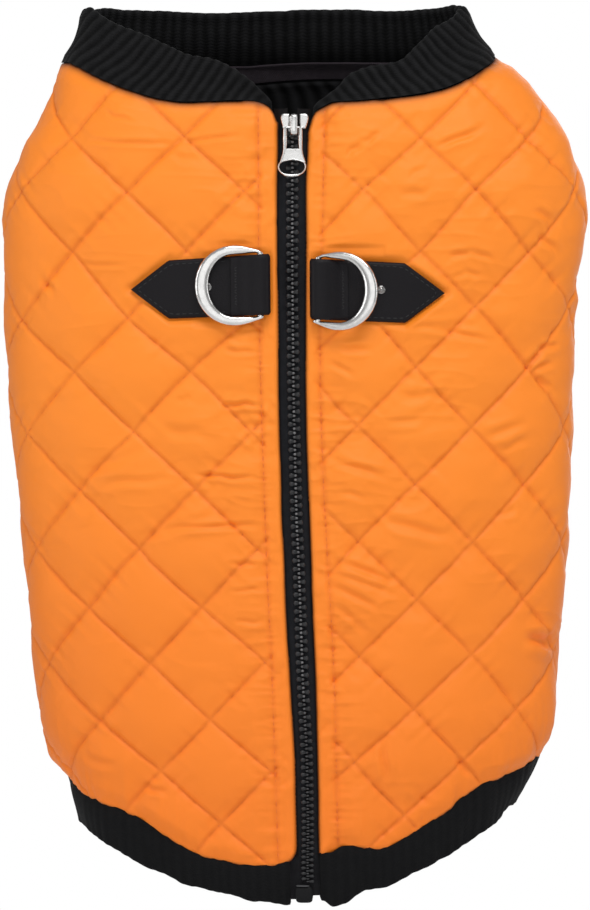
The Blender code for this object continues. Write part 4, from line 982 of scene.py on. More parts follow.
def foldedWalk(count, turnCount=9):
    # share of the band's depth, 1 outside to -1 inside, and how far over the fold, at each row
    down = np.linspace(0, 1, count)
    turns = np.linspace(0, math.pi, turnCount)[1:-1]
    return ([(t, 1, 0) for t in down] + [(1, math.cos(turn), math.sin(turn)) for turn in turns]
            + [(t, -1, 0) for t in down[::-1]])


def collarPiece():
    # a folded band that leans in: up the outside, over a rounded top, and down the inside
    band = collarBand
    step = band["pitch"] / band["columns"]
    side, arc, along, total = aroundCoat(band["start"], band["start"], step, neckSeam)
    share = along / total
    lean = band["leanRight"] + (band["leanLeft"] - band["leanRight"]) * eased(share, 0.27, 0.4)
    seam = bySide(side, arc, coatForm["neck"], 1, 2) - 0.1
    rise = bySide(side, arc, coatForm["neck"], 3, 4) / np.cos(lean)
    rise = rise + 0.5 * softNoise(along / 17, along * 0, 201) * eased(rise, 8, 16)
    fade = eased(rise, 3, 12)
    slope = np.gradient(np.convolve(np.pad(seam, 30, "edge"), np.full(61, 1 / 61), "valid"), along)
    front = 1 - eased(share, 0.2, 0.3) * (1 - eased(share, 0.7, 0.8))
    slant = 0.45 * slope + 0.55 * side * front
    base = fromZip(side * arc, seam, 0)
    level = fromZip(side * arc, seam, 1) - base
    level[:, 2] = 0
    level /= np.linalg.norm(level, axis=1)[:, None]
    up = np.array([0, 0, 1.0])
    risen = up * np.cos(lean)[:, None] - level * np.sin(lean)[:, None]
    outward = level * np.cos(lean)[:, None] + up * np.sin(lean)[:, None]
    half = (band["thick"] - band["thinner"] * (1 - fade)) / 2
    points, uv = [], []
    walked = 0.0
    for t, across, over in foldedWalk(17):
        foot = eased(t * rise, 0, 3.5)
        body = half * (0.66 + 0.34 * foot)
        phase = (along + slant * t * rise) / band["pitch"]
        phase = phase + 0.12 * softNoise(along / 9, along * 0 + t, 204)
        uneven = 1 + 0.45 * softNoise(along / 6, along * 0 + 5 * t, 205)
        deep = band["ribDeep"] * (0.25 + 0.75 * front) * uneven
        rib = deep * fade * (ribShape(phase) - 0.62) * (0.35 + 0.65 * foot) * (1 - 0.5 * over)
        ripple = band["ripple"] * softNoise(along / 6.0, np.full(len(along), t * 3), 203) * fade
        drop = 0.7 if across > 0 else 1.5  # the inside reaches lower than the outside
        a = t * np.maximum(rise - half, 0.2) - drop * (1 - foot) + over * (half + rib)
        b = across * (body + rib) + ripple - band["rounded"] * math.sin(math.pi * min(1.15 * t, 1)) * fade
        points.append(base - level * (coatForm["wall"] / 2) + risen * a[:, None] + outward * b[:, None])
        walked += 1.45 if over == 0 else 0.7
        uv.append(np.stack([phase, np.full(len(phase), walked / 1.5)], axis=-1))
    points = np.array(points)
    for end in (0, -1):
        middle = points[:, end].mean(axis=0)
        points[:, end] = middle + (points[:, end] - middle) * 0.15
    quads = gridQuads(*points.shape[:2])[:, ::-1]
    made = meshPiece("collarKnit", points, quads, finishes["knit"], "rib_knit", uv=uv)
    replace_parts(made, "collar")
    total * mm
    band["tall"] * mm


def hemPiece():
    # a folded band below the hem seam, drawn in and gathered by its own stretch
    band = hemBand
    step = band["pitch"] / band["columns"]
    side, arc, along, total = aroundCoat(band["startRight"], band["startLeft"], step, hemSeam)
    seam = bySide(side, arc, coatForm["hem"], 1, 2) + band["over"]
    depth = bySide(side, arc, coatForm["hem"], 3, 4) + band["over"]
    depth = (depth + 0.55 * softNoise(along / 9, along * 0, 211)
             + 0.3 * softNoise(along / 3.6, along * 0, 212))
    phase = along / band["pitch"] + 0.3 * softNoise(along / 15, along * 0, 213)
    points, uv = [], []
    for k, (t, across, under) in enumerate(foldedWalk(15)):
        half = band["half"] - 0.35 * eased(1 - t, 0.75, 1.0)
        gather = (0.75 * softNoise(along / 5.2, t * 0.8 + along * 0, 214)
                  + 0.35 * softNoise(along / 2.6, t * 0.8 + along * 0, 215)) * (0.4 + 0.6 * t)
        rib = band["ribDeep"] * (ribShape(phase) - 0.6) * (0.4 + 0.6 * eased(t, 0, 0.25))
        centre = -1.0 + 0.55 * np.sin(math.pi * min(t * 1.1, 1)) - 0.9 * t * t
        height = seam - t * (depth - half) - under * (half + rib)
        points.append(fromZip(side * arc, height, centre + gather + across * (half + rib)))
        uv.append(np.stack([phase, np.full(len(phase), k * 0.8)], axis=-1))
    points = np.array(points)
    for end in (0, -1):
        middle = points[:, end].mean(axis=0)
        points[:, end] = middle + (points[:, end] - middle) * (0.5, 0.3, 0.88)
    made = meshPiece("hemKnit", points, gridQuads(*points.shape[:2]), finishes["fineKnit"], "rib_knit",
                     uv=uv)
    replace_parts(made, "hem_band")
    total * mm


def legPiece(side):
    # a narrow folded ring inside the leg hole's edge
    band = legBand
    turns = np.linspace(0, 2 * math.pi, band["ribs"] * band["columns"], endpoint=False)
    phase = np.arange(len(turns)) / band["columns"]
    points, uv = [], []
    for k, (t, across, under) in enumerate(foldedWalk(9)):
        half = band["half"] - 0.5 * eased(1 - t, 0.7, 1.0)
        rib = band["ribDeep"] * (ribShape(phase) - 0.6) * (0.3 + 0.7 * eased(t, 0, 0.3))
        ripple = band["ripple"] * softNoise(phase / 3, t * 2 + phase * 0, 221 + side)
        inwards = band["over"] + t * (band["deep"] - half) + under * (half + rib)
        flat = legEdge(turns, inwards)
        out = band["sink"] + 0.3 * math.sin(math.pi * t) + ripple + across * (half + rib)
        points.append(fromBelly(side * flat[:, 0], flat[:, 1], out))
        uv.append(np.stack([phase, np.full(len(phase), k * 0.75)], axis=-1))
    points = np.array(points)
    quads = gridQuads(*points.shape[:2], wrapColumns=True)
    name = "left" if side < 0 else "right"
    made = meshPiece(name + "LegKnit", points, quads if side > 0 else quads[:, ::-1], finishes["knit"],
                     "rib_knit", uv=uv)
    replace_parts(made, "leg_binding_" + name)
    "shell" + name.capitalize()


collarPiece()
hemPiece()
for side in (-1, 1):
    legPiece(side)
print("rib knit made")


neckInside = {
    # arc from the belly's middle, and how much higher the strips inside the neck lie there
    "rise": [(-45, 0.2), (-14, 0.4), (-7, 1.0), (-0.6, 1.5), (12, 2.2), (25, 2.3), (60, 2.3)],
    "ribPitch": 6.6, "loopTall": 1.5, "lip": 0.9,
    "tape": {"halfLong": 78, "top": -0.6, "bottom": -7.7, "near": -2.6, "thick": 1.2, "ribs": 0},
    "lining": {"halfLong": 62, "top": -8.3, "bottom": -34, "near": -2.5, "thick": 1.1, "ribs": 1},
    "liningFlat": (124, 24.6),
}


def innerStrip(name, node, finish, slot, strip):
    # a strip on the inside of the belly panel: front face, rounded edges and back
    top, bottom, near, ribs = strip["top"], strip["bottom"], strip["near"], strip["ribs"]
    arcs = np.linspace(-strip["halfLong"], strip["halfLong"], 420)
    rib = (ribShape(arcs / neckInside["ribPitch"]) - 0.5) * ribs
    lifted = smoothCurve(arcs, neckInside["rise"])
    walk = [(h, near - strip["thick"]) for h in np.linspace(top - 0.25, bottom + 0.25, 17)]
    walk = [(top, near)] + walk + [(bottom, near)]
    points = []
    for h, d in walk:
        lip = ribs * (1 - eased(top - h, 1.2, 2.6))
        inwards = 0.7 * np.maximum(h + lifted + 1.5, 0)
        rise = 0 if d == near else rib * (1 - lip) + neckInside["lip"] * lip
        uneven = 0.15 * softNoise(arcs / 7, arcs * 0 + h / 5, 231)
        points.append(fromBelly(arcs, h + lifted, d - rise - inwards + uneven))
    points = np.array(points)
    uv = np.stack(np.broadcast_arrays(arcs[None, :], np.array([h for h, _ in walk])[:, None]), axis=-1)
    if ribs:
        uv = uv / (neckInside["ribPitch"], neckInside["loopTall"])
    made = meshPiece(name, points, gridQuads(*points.shape[:2]), finish, slot, uv=uv)
    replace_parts(made, node)
    return made


neckTape = innerStrip("neckTapeStrip", "neck_tape", finishes["neckTape"], "inner_tape", neckInside["tape"])
lining = innerStrip("neckRibLining", "neck_lining", finishes["innerKnit"], "rib_knit", neckInside["lining"])
print("neck lined")


def stitchMesh(runs, radius, fill=0.72, lift=0.12):
    # each stitch is a bent capsule: a round section along a shallow arch, its ends sunk in the cloth
    start, end, up = (np.concatenate([run[k] for run in runs]) for k in (0, 1, 2))
    middle, along = (start + end) / 2, (end - start) / 2 * fill
    across = np.cross(along, up)
    across /= np.linalg.norm(across, axis=1)[:, None]
    stations = np.array([-1.0, -0.72, 0, 0.72, 1.0])
    thick = radius * np.array([0.45, 0.9, 1.0, 0.9, 0.45])
    arch = lift - 0.5 * radius - np.array([0.75, 0.22, 0, 0.22, 0.75]) * radius * 1.4
    turns = np.linspace(0, 2 * math.pi, 6, endpoint=False)
    points = (middle[:, None, None] + along[:, None, None] * stations[:, None, None]
              + up[:, None, None] * (arch[:, None] + thick[:, None] * np.sin(turns))[..., None]
              + across[:, None, None] * (thick[:, None] * np.cos(turns))[..., None])
    one = gridQuads(len(stations), len(turns), wrapColumns=True)
    caps = np.array([[0, 1, 2, 3], [3, 4, 5, 0]])
    last = (len(stations) - 1) * len(turns)
    one = np.concatenate([one, caps[:, ::-1], caps + last])
    quads = one[None] + (np.arange(len(middle)) * len(stations) * len(turns))[:, None, None]
    return points.reshape(-1, 3), quads.reshape(-1, 4)


def runOn(panel, arc, height, margin):
    # stitches between neighbouring places that lie well inside a panel and clear of its tab
    place = np.stack([arc, height], axis=1)
    edge = nearest(place, panel["outline"])[1]
    fine = pointsInside(panel["outline"], place) & (edge > margin)
    fine &= tabShare(panel["side"], arc, height) > 0.02
    out = quiltedOut(panel, arc, height, edge)[0]
    here, above = panel["place"](arc, height, out), panel["place"](arc, height, out + 1)
    both = fine[:-1] & fine[1:]
    return here[:-1][both], here[1:][both], (above - here)[:-1][both]


def quiltThreads(panel):
    # the two families of parallel sewing lines, stepped by the pitch of the stitches
    q, side = quilting, panel["side"]
    low, high = panel["outline"].min(axis=0), panel["outline"].max(axis=0)
    levels = np.linspace(60, -380, 4401)
    rows = smoothCurve(levels, q["rows"][side])
    arcs, heights = np.meshgrid(np.linspace(low[0], high[0], 20), np.linspace(low[1], high[1], 60))
    column, row = quiltPlace(side, arcs, heights)
    reach = {0: (column - row) / 2, 1: (column + row) / 2}
    runs = []
    for family in (0, 1):
        for line in range(math.floor(reach[family].min()), math.ceil(reach[family].max()) + 1):
            other = reach[1 - family]
            t = np.arange(other.min(), other.max(), threads["quiltPitch"] / q["spacing"])
            one, two = (line + 0 * t, t) if family == 0 else (t, line + 0 * t)
            height = np.interp(two - one, rows, levels)
            across = (one + two) * smoothCurve(height, q["wide"][side])
            across = across + smoothCurve(height, q["start"][side])
            arc = (side or 1) * across
            for _ in range(2):  # two rounds settle where the wandering line lies
                arc, height = (across * (side or 1) - wander(arc, height, panel["seed"]),
                               np.interp(two - one, rows, levels) - wander(arc, height, panel["seed"] + 2))
            if side:
                past = side * arc > smoothCurve(height, placket[side]) + 0.6
                arc, height = arc[past], height[past]
            if len(arc) > 1:
                runs.append(runOn(panel, arc, height, 1.6))
    return runs


def placketThreads(panel):
    side = panel["side"]
    height = np.arange(-14, -335, -threads["placketPitch"])
    return [runOn(panel, side * smoothCurve(height, placket[side]), height, 1.0)]


for panel in panels:
    meshPiece(panel["name"] + "Quilting", *stitchMesh(quiltThreads(panel), threads["quiltRadius"]),
              finishes["orangeThread"], "quilted_shell")
for panel in panels[:2]:
    meshPiece(panel["name"] + "Topstitch", *stitchMesh(placketThreads(panel), threads["placketRadius"]),
              finishes["orangeThread"], "quilted_shell")
print("threads sewn")


zipSizes = {
    "top": -19.5, "bottom": -337, "chainTop": -27.0, "tapeWide": 7.4, "tapeThick": 0.9, "tapeOut": -0.6,
    "tapeEnd": {-1: -342.6, 1: -341.0}, "parting": 2.1, "cord": 0.5, "boxAt": (-1.35, -340.5),
    # height, and the teeth's pitch on one side or how far the chain runs to the right of the zip's line
    "pitches": [(-27, 3.5), (-255, 3.45), (-285, 3.05), (-310, 2.55), (-337, 2.1)],
    "shift": [(-27, 0), (-104, -0.15), (-145, -0.4), (-186, -0.35), (-206, 0), (-247, 0.05), (-268, 0.55),
              (-288, 1.1), (-309, 1.05), (-330, 0.4)],
}


def zipTape(side):
    # a flat strip with a corded inner edge; above the slider the two strips part
    heights = np.concatenate([np.linspace(zipSizes["top"], -40, 24),
                              np.linspace(-41, zipSizes["tapeEnd"][side], 150)])
    parting = -0.1 + zipSizes["parting"] * (1 - eased(-heights, 25, 40))
    acrossShare = np.linspace(0, 1, 33)
    walk = [(t, 0.0) for t in acrossShare] + [(t, -zipSizes["tapeThick"]) for t in acrossShare[::-1]]
    points, shade = [], []
    for t, drop in walk:
        arc = parting + (zipSizes["tapeWide"] - parting) * t
        cord = zipSizes["cord"] * math.exp(-(t / 0.12) ** 2)
        out = zipSizes["tapeOut"] + drop + (cord if drop == 0 else 0) - 0.5 * eased(arc, 2.4, 4.4)
        out = out + 0.05 * softNoise(heights / 5, heights * 0 + t * 3, 241)
        points.append(fromZip(side * arc, heights, out))
        underCloth = eased(arc - zipEdgeAt(side, heights), -0.9, 0.2) * (heights > -325)
        ends = np.maximum(0.7 * eased(heights, -29, -26), 0.4 * eased(-heights, 324, 329))
        shade.append(np.maximum(underCloth, ends))
    across = np.array([t * 7 for t, _ in walk])
    uv = np.stack(np.broadcast_arrays(across[:, None], heights[None, :]), axis=-1)
    quads = gridQuads(len(walk), len(heights), wrapRows=True)
    name = "left" if side < 0 else "right"
    made = meshPiece(name + "ZipTape", points, quads if side < 0 else quads[:, ::-1], finishes["zipCloth"],
                     "zip_cloth", uv=uv, marks={"shade": shade})
    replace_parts(made, "zip_tape_" + name)


def roundedBlock(length, wide, deep, nose, count=12, stations=9, start=-0.1):
    # a superellipse section along x whose size follows a rounded profile, narrowing to a nose
    s = np.linspace(-1, 1, stations)
    turns = np.linspace(0, 2 * math.pi, count, endpoint=False)
    size = np.maximum(1 - np.abs(s) ** 5, 0.0) ** 0.4 * (1 - nose * eased(s, start, 0.95))
    power = 2 / 3.2
    y = np.sign(np.cos(turns)) * np.abs(np.cos(turns)) ** power
    z = np.sign(np.sin(turns)) * np.abs(np.sin(turns)) ** power
    x = np.broadcast_to((s * length / 2)[:, None], (stations, count))
    points = np.stack([x, size[:, None] * y * deep / 2, size[:, None] * z * wide / 2], axis=-1)
    return points.reshape(-1, 3), gridQuads(stations, count, wrapColumns=True)


def zipTeeth():
    # moulded teeth that reach past the middle from each side in turn, each crown with a small painted
    # highlight
    tooth, quads = roundedBlock(3.5, 2.35, 1.9, 0.55, start=-0.9)
    crown, crownQuads = roundedBlock(1.05, 1.0, 1.2, 0.1)
    shape, shapeQuads = joined([(tooth + (-0.95, 0, 0), quads), (crown + (0.05, 0.7, 0), crownQuads)])
    isCrown = np.arange(len(shape)) >= len(tooth)
    levels = np.arange(zipSizes["chainTop"] - 3, zipSizes["bottom"] + 1.5, -0.25)
    pitches = smoothCurve(levels, zipSizes["pitches"])
    number = np.concatenate([[0], np.cumsum(0.25 / pitches[:-1])])
    glintRandom = np.random.default_rng(251)
    parts, crowns = [], []
    for side in (-1, 1):
        heights = np.interp(np.arange(0 if side < 0 else 0.5, number[-1], 1.0), number, levels)
        small = smoothCurve(heights, zipSizes["pitches"]) / zipSizes["pitches"][0][1]
        arc = smoothCurve(heights, zipSizes["shift"])[:, None] - side * shape[None, :, 0]
        height = heights[:, None] + shape[None, :, 2] * small[:, None]
        points = fromZip(arc, height, 0.35 + shape[None, :, 1] + 0 * arc)
        turned = shapeQuads if side < 0 else shapeQuads[:, ::-1]
        first = np.arange(len(heights)) * len(shape)
        parts.append((points, (turned[None] + first[:, None, None]).reshape(-1, 4)))
        # how bright each tooth's painted highlight is, fainter low on the chain
        bright = glintRandom.uniform(0.25, 1, len(heights)) * (1 - 0.8 * eased(-heights, 245, 285))
        crowns.append((bright[:, None] * isCrown).ravel())
    made = meshPiece("zipTeeth", *joined(parts), finishes["zipPlastic"], "zip_plastic",
                     marks={"crown": np.concatenate(crowns)})
    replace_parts(made, "zip_chain")


def zipEnd():
    # the box at the zip's lower end, with a painted highlight line across its top: a thin lip in the
    # highlight colour
    block, quads = roundedBlock(7.6, 6.9, 3.0, 0.0, 20, 15)
    lip, lipQuads = roundedBlock(5.6, 0.55, 3.5, 0.0, 16, 15)
    points, faces = joined([(block, quads), (lip + (-0.4, 0, 3.5), lipQuads)])
    across, height = zipSizes["boxAt"]
    where = fromZip(points[:, 0] + across, height + points[:, 2], points[:, 1] + 0.1)
    # the lip carries the painted highlight colour
    isLip = np.arange(len(points)) >= len(block)
    made = meshPiece("zipBoxBlock", where, faces, finishes["boxPlastic"], "zip_plastic",
                     marks={"crown": 0.6 * isLip})
    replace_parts(made, "zip_box")


for side in (-1, 1):
    zipTape(side)
zipTeeth()
zipEnd()
print("zip made")


def barPlace():
    # how far along and how far out the ring's bar lies in the folded strap
    along = strap["thick"] + strap["gap"] + strap["bar"]
    return along, strap["gap"] + along


def tabWalk(which):
    # the strap's path: along the coat to its tip, and back over the ring's bar to its stitched end
    gap, thick, stitchAt = strap["gap"], strap["thick"], strap["stitchAt"]
    barAt, barOut = barPlace()
    radius = strap["bar"] + gap + thick / 2
    flapOut = strap["flapOut"] + thick / 2
    flap = [(stitchAt + 2, flapOut), (stitchAt, flapOut)]
    rise = [(stitchAt + (barAt + 1.5 - stitchAt) * t,
             flapOut + (barOut + radius - flapOut) * float(eased(t, 0, 1)))
            for t in np.linspace(0, 1, 8)[1:-1]]
    reach = radius + tabs[which]["slack"]
    fold = [(barAt - reach * math.cos(turn), barOut + radius * math.sin(turn))
            for turn in np.linspace(0.5 * math.pi, -0.5 * math.pi, 17)]
    tip = tabs[which]["tip"] - 0.05
    along = [(d, gap + thick / 2) for d in np.linspace(barAt + 2, tip, strap["tipPoints"])]
    return np.array(flap + rise + fold + along)


def tabPiece(which):
    # a rounded strap section carried along its path, narrowing to a point
    tab, path = tabs[which], tabWalk(which)
    step = np.gradient(path, axis=0)
    step /= np.linalg.norm(step, axis=1)[:, None]
    normal = np.stack([-step[:, 1], step[:, 0]], axis=1)
    onCoat = np.arange(len(path)) >= len(path) - strap["tipPoints"]
    half = tabHalf(tab, np.where(onCoat, path[:, 0], np.minimum(path[:, 0], tab["shoulder"])))
    across = np.concatenate([np.linspace(-1, 1, 25), np.linspace(1, -1, 25)])
    face = np.concatenate([np.ones(25), -np.ones(25)])
    edgeFar = (1 - np.abs(across))[None, :] * half[:, None]
    roundness = np.sqrt(np.clip(1 - (1 - np.clip(edgeFar / 0.7, 0, 1)) ** 2, 0, 1))
    creased = 0.16 * np.exp(-((edgeFar - 1.7) / 0.35) ** 2) * onCoat[:, None]
    thick = (strap["thick"] / 2) * (0.12 + 0.88 * roundness) - np.where(face > 0, 1, 0)[None] * creased
    d = path[:, :1] + normal[:, :1] * thick * face
    out = path[:, 1:] + normal[:, 1:] * thick * face
    height = tabMiddle(tab, d) + across[None, :] * half[:, None]
    points = fromZip(tab["side"] * (tab["end"] + d), height, out)
    quads = gridQuads(*points.shape[:2], wrapColumns=True)
    edge = np.exp(-edgeFar / 0.5)
    made = meshPiece(which + "Tab", points, quads if tab["side"] > 0 else quads[:, ::-1], finishes["strap"],
                     "tab_leather", marks={"edge": edge})
    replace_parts(made, "tab_" + which)


def tabThreads(which):
    # a line of stitches inside the tab's edge, and a bar tack across the folded end
    tab = tabs[which]
    inset, sunk, start = 1.7, 0.12, 17
    half, tip, shoulder = tab["shoulderHalf"], tab["tip"], tab["shoulder"]
    line = [(start, half - inset + 0.2), (shoulder - 0.8, half - inset), (tip - 2.9, 0),
            (shoulder - 0.8, -half + inset), (start, -half + inset - 0.2)]
    flat = spaced(line, threads["tabPitch"])
    tack = np.array([[strap["stitchAt"] + (0.9 if k % 2 else -0.9), z]
                     for k, z in enumerate(np.linspace(-8, 8, 15))])
    runs = []
    for path, under in ((flat, strap["gap"]), (tack, strap["flapOut"])):
        out = under + strap["thick"] - sunk
        height = tabMiddle(tab, path[:, 0]) + path[:, 1]
        here = fromZip(tab["side"] * (tab["end"] + path[:, 0]), height, out)
        above = fromZip(tab["side"] * (tab["end"] + path[:, 0]), height, out + 1.0)
        runs.append((here[:-1], here[1:], (above - here)[:-1]))
    meshPiece(which + "TabThread", *stitchMesh(runs, threads["tabRadius"], 0.8), finishes["blackThread"],
              "tab_leather")


def rivetPiece(which):
    # a flat-topped dome with a small rolled rim: a profile turned about its own axis
    tab = tabs[which]
    profile = np.array([(0.0, 1.18), (0.35, 1.16), (0.75, 1.02), (1.05, 0.72), (1.2, 0.5), (1.42, 0.52),
                        (1.62, 0.46), (1.74, 0.28), (1.74, 0.05), (1.6, -0.2)])
    turns = np.linspace(0, 2 * math.pi, 40, endpoint=False)
    x, z = profile[:, :1] * np.cos(turns), profile[:, :1] * np.sin(turns)
    arc = tab["side"] * (tab["end"] + tab["rivet"]) + x
    height = tabMiddle(tab, tab["rivet"]) + tab["rivetUp"] + z
    out = strap["gap"] + strap["thick"] + np.broadcast_to(profile[:, 1:], x.shape)
    points = fromZip(arc, height, out)
    made = meshPiece(which + "Rivet", points, gridQuads(*points.shape[:2], wrapColumns=True),
                     finishes["rivetShadedNickel"], "satin_nickel")
    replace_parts(made, "rivet_" + which)


for which in tabs:
    tabPiece(which)
    tabThreads(which)
    rivetPiece(which)
print("tabs made")


def standing(arc, height, out, turn=0.0, upright=True):
    # origin, and the directions right, into the coat and up, of a piece that faces outwards
    here, further = fromZip(np.array([arc, arc]), height, np.array([out, out + 1.0]))
    outward = further - here
    tilt = 0 if upright else math.asin(outward[2])
    yaw = math.atan2(outward[0], -outward[1]) + turn
    turnZ = [[math.cos(yaw), -math.sin(yaw), 0], [math.sin(yaw), math.cos(yaw), 0], [0, 0, 1]]
    turnX = [[1, 0, 0], [0, math.cos(tilt), math.sin(tilt)], [0, -math.sin(tilt), math.cos(tilt)]]
    return here, np.array(turnZ) @ np.array(turnX)


def placed(points, frameOf):
    here, turned = frameOf
    return np.asarray(points) @ turned.T + here


ring = {
    # the bow's width and radius, how far the edges are smoothed, and the section's rounding and thickness
    "band": 5.7, "radius": 16.0, "smooth": 0.42, "acrossPower": 0.92, "deepPower": 0.78, "thick": 1.22,
    "thickRange": (1.15, 1.5), "columns": 28,
}


def ringPiece(which):
    # outer and inner edges all the way round, with a flattened round section between them
    tab, bar, band, radius = tabs[which], strap["bar"], ring["band"], ring["radius"]
    side, halfTall, innerHalf = tab["side"], tab["ringHalf"], tab["ringInner"]
    centre = tab["ringLong"] - radius
    rows = [((-bar, q), (bar, q)) for q in (0, 6, 11.2)]
    rows += [((-bar, 13.2), (bar, 12.8)), ((-0.3, 14.1), (1.9, innerHalf))]
    for share in (0.2, 0.4, 0.6, 0.8):
        p = centre * share + 0.6
        rows.append(((p, 14.0 + (halfTall - 14.0) * math.sin(0.5 * math.pi * p / centre)),
                     (p, innerHalf - 0.3 * share)))
    for t in np.linspace(0.5 * math.pi, 0, 9):
        rows.append(((centre + radius * math.cos(t), halfTall * math.sin(t)),
                     (centre + (radius - band) * math.cos(t), (innerHalf - 0.3) * math.sin(t))))
    rows += [((o[0], -o[1]), (i[0], -i[1])) for o, i in rows[1:-1]][::-1]
    rows = np.array(rows)
    # eight steps from row to row, each a bell-shaped mean of the rows round it
    fine, half = np.arange(0, len(rows), 0.125), len(rows) / 2
    apart = (fine[:, None] - np.arange(len(rows))[None] + half) % len(rows) - half
    weights = np.exp(-0.5 * apart ** 2 / ring["smooth"] ** 2)
    rows = np.einsum("ij,jkl->ikl", weights / weights.sum(axis=1)[:, None], rows)
    middle, reach = rows.mean(axis=1), (rows[:, 0] - rows[:, 1]) / 2
    wide = np.linalg.norm(reach, axis=1)
    thick = np.clip(ring["thick"] + 0.2 * (wide - bar), *ring["thickRange"])
    turns = np.linspace(0, 2 * math.pi, ring["columns"], endpoint=False)
    flatX = np.sign(np.cos(turns)) * np.abs(np.cos(turns)) ** ring["acrossPower"]
    flatY = np.sign(np.sin(turns)) * np.abs(np.sin(turns)) ** ring["deepPower"]
    flat = middle[:, None] + reach[:, None] * flatX[None, :, None]
    tilt = side * math.radians(tab["ringTilt"])
    # the bar stays upright inside its loop, and the ring leans outside it
    leant = np.maximum(eased(flat[..., 0], 0.5, 7), eased(np.abs(flat[..., 1]), 12.4, 13.8))
    points = np.stack([side * flat[..., 0] * math.cos(tilt) + flat[..., 1] * math.sin(tilt) * leant,
                       thick[:, None] * flatY[None],
                       flat[..., 1] * math.cos(tilt) - side * flat[..., 0] * math.sin(tilt)], axis=-1)
    barAt, barOut = barPlace()
    where = standing(side * (tab["end"] + barAt), tab["ringHeight"], barOut,
                     -side * math.radians(tab["lift"]))
    quads = gridQuads(*points.shape[:2], True, True)
    made = meshPiece(which + "Ring", placed(points, where), quads if side > 0 else quads[:, ::-1],
                     finishes["nickel"], "satin_nickel", body="ring_" + which)
    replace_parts(made, "d_ring_" + which)


def plate(outline, low, high, soft, rings=6):
    # a flat plate with rounded edges: the outline shrunk towards its middle as it turns over
    outline = np.asarray(outline, float)
    centre = outline.mean(axis=0)
    reach = np.linalg.norm(outline - centre, axis=1).mean()
    levels = [(0.02, high), (0.5, high), (1 - soft / reach, high)]
    for t in np.linspace(0, 0.5 * math.pi, rings)[1:]:
        levels.append((1 - soft / reach * (1 - math.sin(t)), high - soft * (1 - math.cos(t))))
    for t in np.linspace(0.5 * math.pi, 0, rings)[:-1]:
        levels.append((1 - soft / reach * (1 - math.sin(t)), low + soft * (1 - math.cos(t))))
    levels += [(1 - soft / reach, low), (0.5, low), (0.02, low)]
    points = np.array([[(centre[0] + (x - centre[0]) * s, -h, centre[1] + (z - centre[1]) * s)
                        for x, z in outline] for s, h in levels])
    return points.reshape(-1, 3), gridQuads(*points.shape[:2], wrapColumns=True)


def smoothOutline(corners, count=64):
    # a closed line through the corners, rounded by a short running mean
    line = np.asarray(corners + [corners[0]], float)
    along = np.concatenate([[0], np.cumsum(np.linalg.norm(np.diff(line, axis=0), axis=1))])
    at = np.linspace(0, along[-1], count, endpoint=False)
    line = np.stack([np.interp(at, along, line[:, k]) for k in (0, 1)], axis=1)
    return (np.roll(line, 1, axis=0) + 2 * line + np.roll(line, -1, axis=0)) / 4


def tube(path, radiusAcross, radiusDeep, closed=False, count=16):
    # an oval section carried along a path in the plate's plane
    path = np.asarray(path, float)
    step = (np.roll(path, -1, axis=0) - np.roll(path, 1, axis=0)) if closed else np.gradient(path, axis=0)
    step /= np.linalg.norm(step, axis=1)[:, None]
    side = np.stack([-step[:, 1], step[:, 0]], axis=1)
    turns = np.linspace(0, 2 * math.pi, count, endpoint=False)
    radiusAcross = np.broadcast_to(radiusAcross, len(path))[:, None]
    radiusDeep = np.broadcast_to(radiusDeep, len(path))[:, None]
    flat = path[:, None] + side[:, None] * (radiusAcross * np.cos(turns))[..., None]
    deep = radiusDeep * np.sin(turns) * np.ones((len(path), 1))
    points = np.stack([flat[..., 0], deep, flat[..., 1]], axis=-1)
    return points.reshape(-1, 3), gridQuads(len(path), count, closed, True)


slider = {
    # outlines across and up from the pull's pin, each plate's back, front and rounding
    "height": -28.2, "across": 0.9,
    "back": ([(-2.2, 5.9), (2.2, 5.9), (5.1, 5.2), (5.6, 3.6), (4.9, -1.2), (3.8, -2.4), (-3.8, -2.4),
              (-4.9, -1.2), (-5.6, 3.6), (-5.1, 5.2)], -3.3, -2.3, 0.4),
    "front": ([(-1.1, 5.4), (1.1, 5.4), (1.1, -2.6), (-1.1, -2.6)], 2.3, 3.2, 0.3),
    "post": ([(-1.1, 5.4), (1.1, 5.4), (0.8, 1.6), (-0.8, 1.6)], -2.6, 2.6, 0.2),
    "rail": ([(3.3, 1.6), (4.3, 1.6), (4.2, 0.6), (3.3, 0.6)], 0.1, 2.6, 0.25),
    "wing": ([(2.7, 5.4), (4.4, 5.6), (5.2, 5.0), (5.3, 3.4), (4.6, 1.4), (4.2, 0.8), (2.8, 0.8)],
             2.3, 3.5, 0.4),
    "lobe": ([(2.1, 5.75), (4.5, 5.85), (5.4, 5.3), (5.7, 4.0), (5.4, 2.4), (4.5, -0.5), (2.4, -0.5),
              (2.05, 3.0)], 3.2, 5.0, 0.7),
    # the bridge's line, deep and up, and its section
    "bridge": [(-3.0, 4.9), (-4.6, 5.0), (-6.0, 4.9), (-6.6, 4.3), (-6.7, 3.4), (-6.75, 2.0), (-6.75, 0.4),
               (-6.6, -1.2), (-6.0, -2.6), (-4.4, -3.2), (-3.0, -3.1)],
    "bridgeThick": 0.42, "bridgeHalf": 1.35,
}


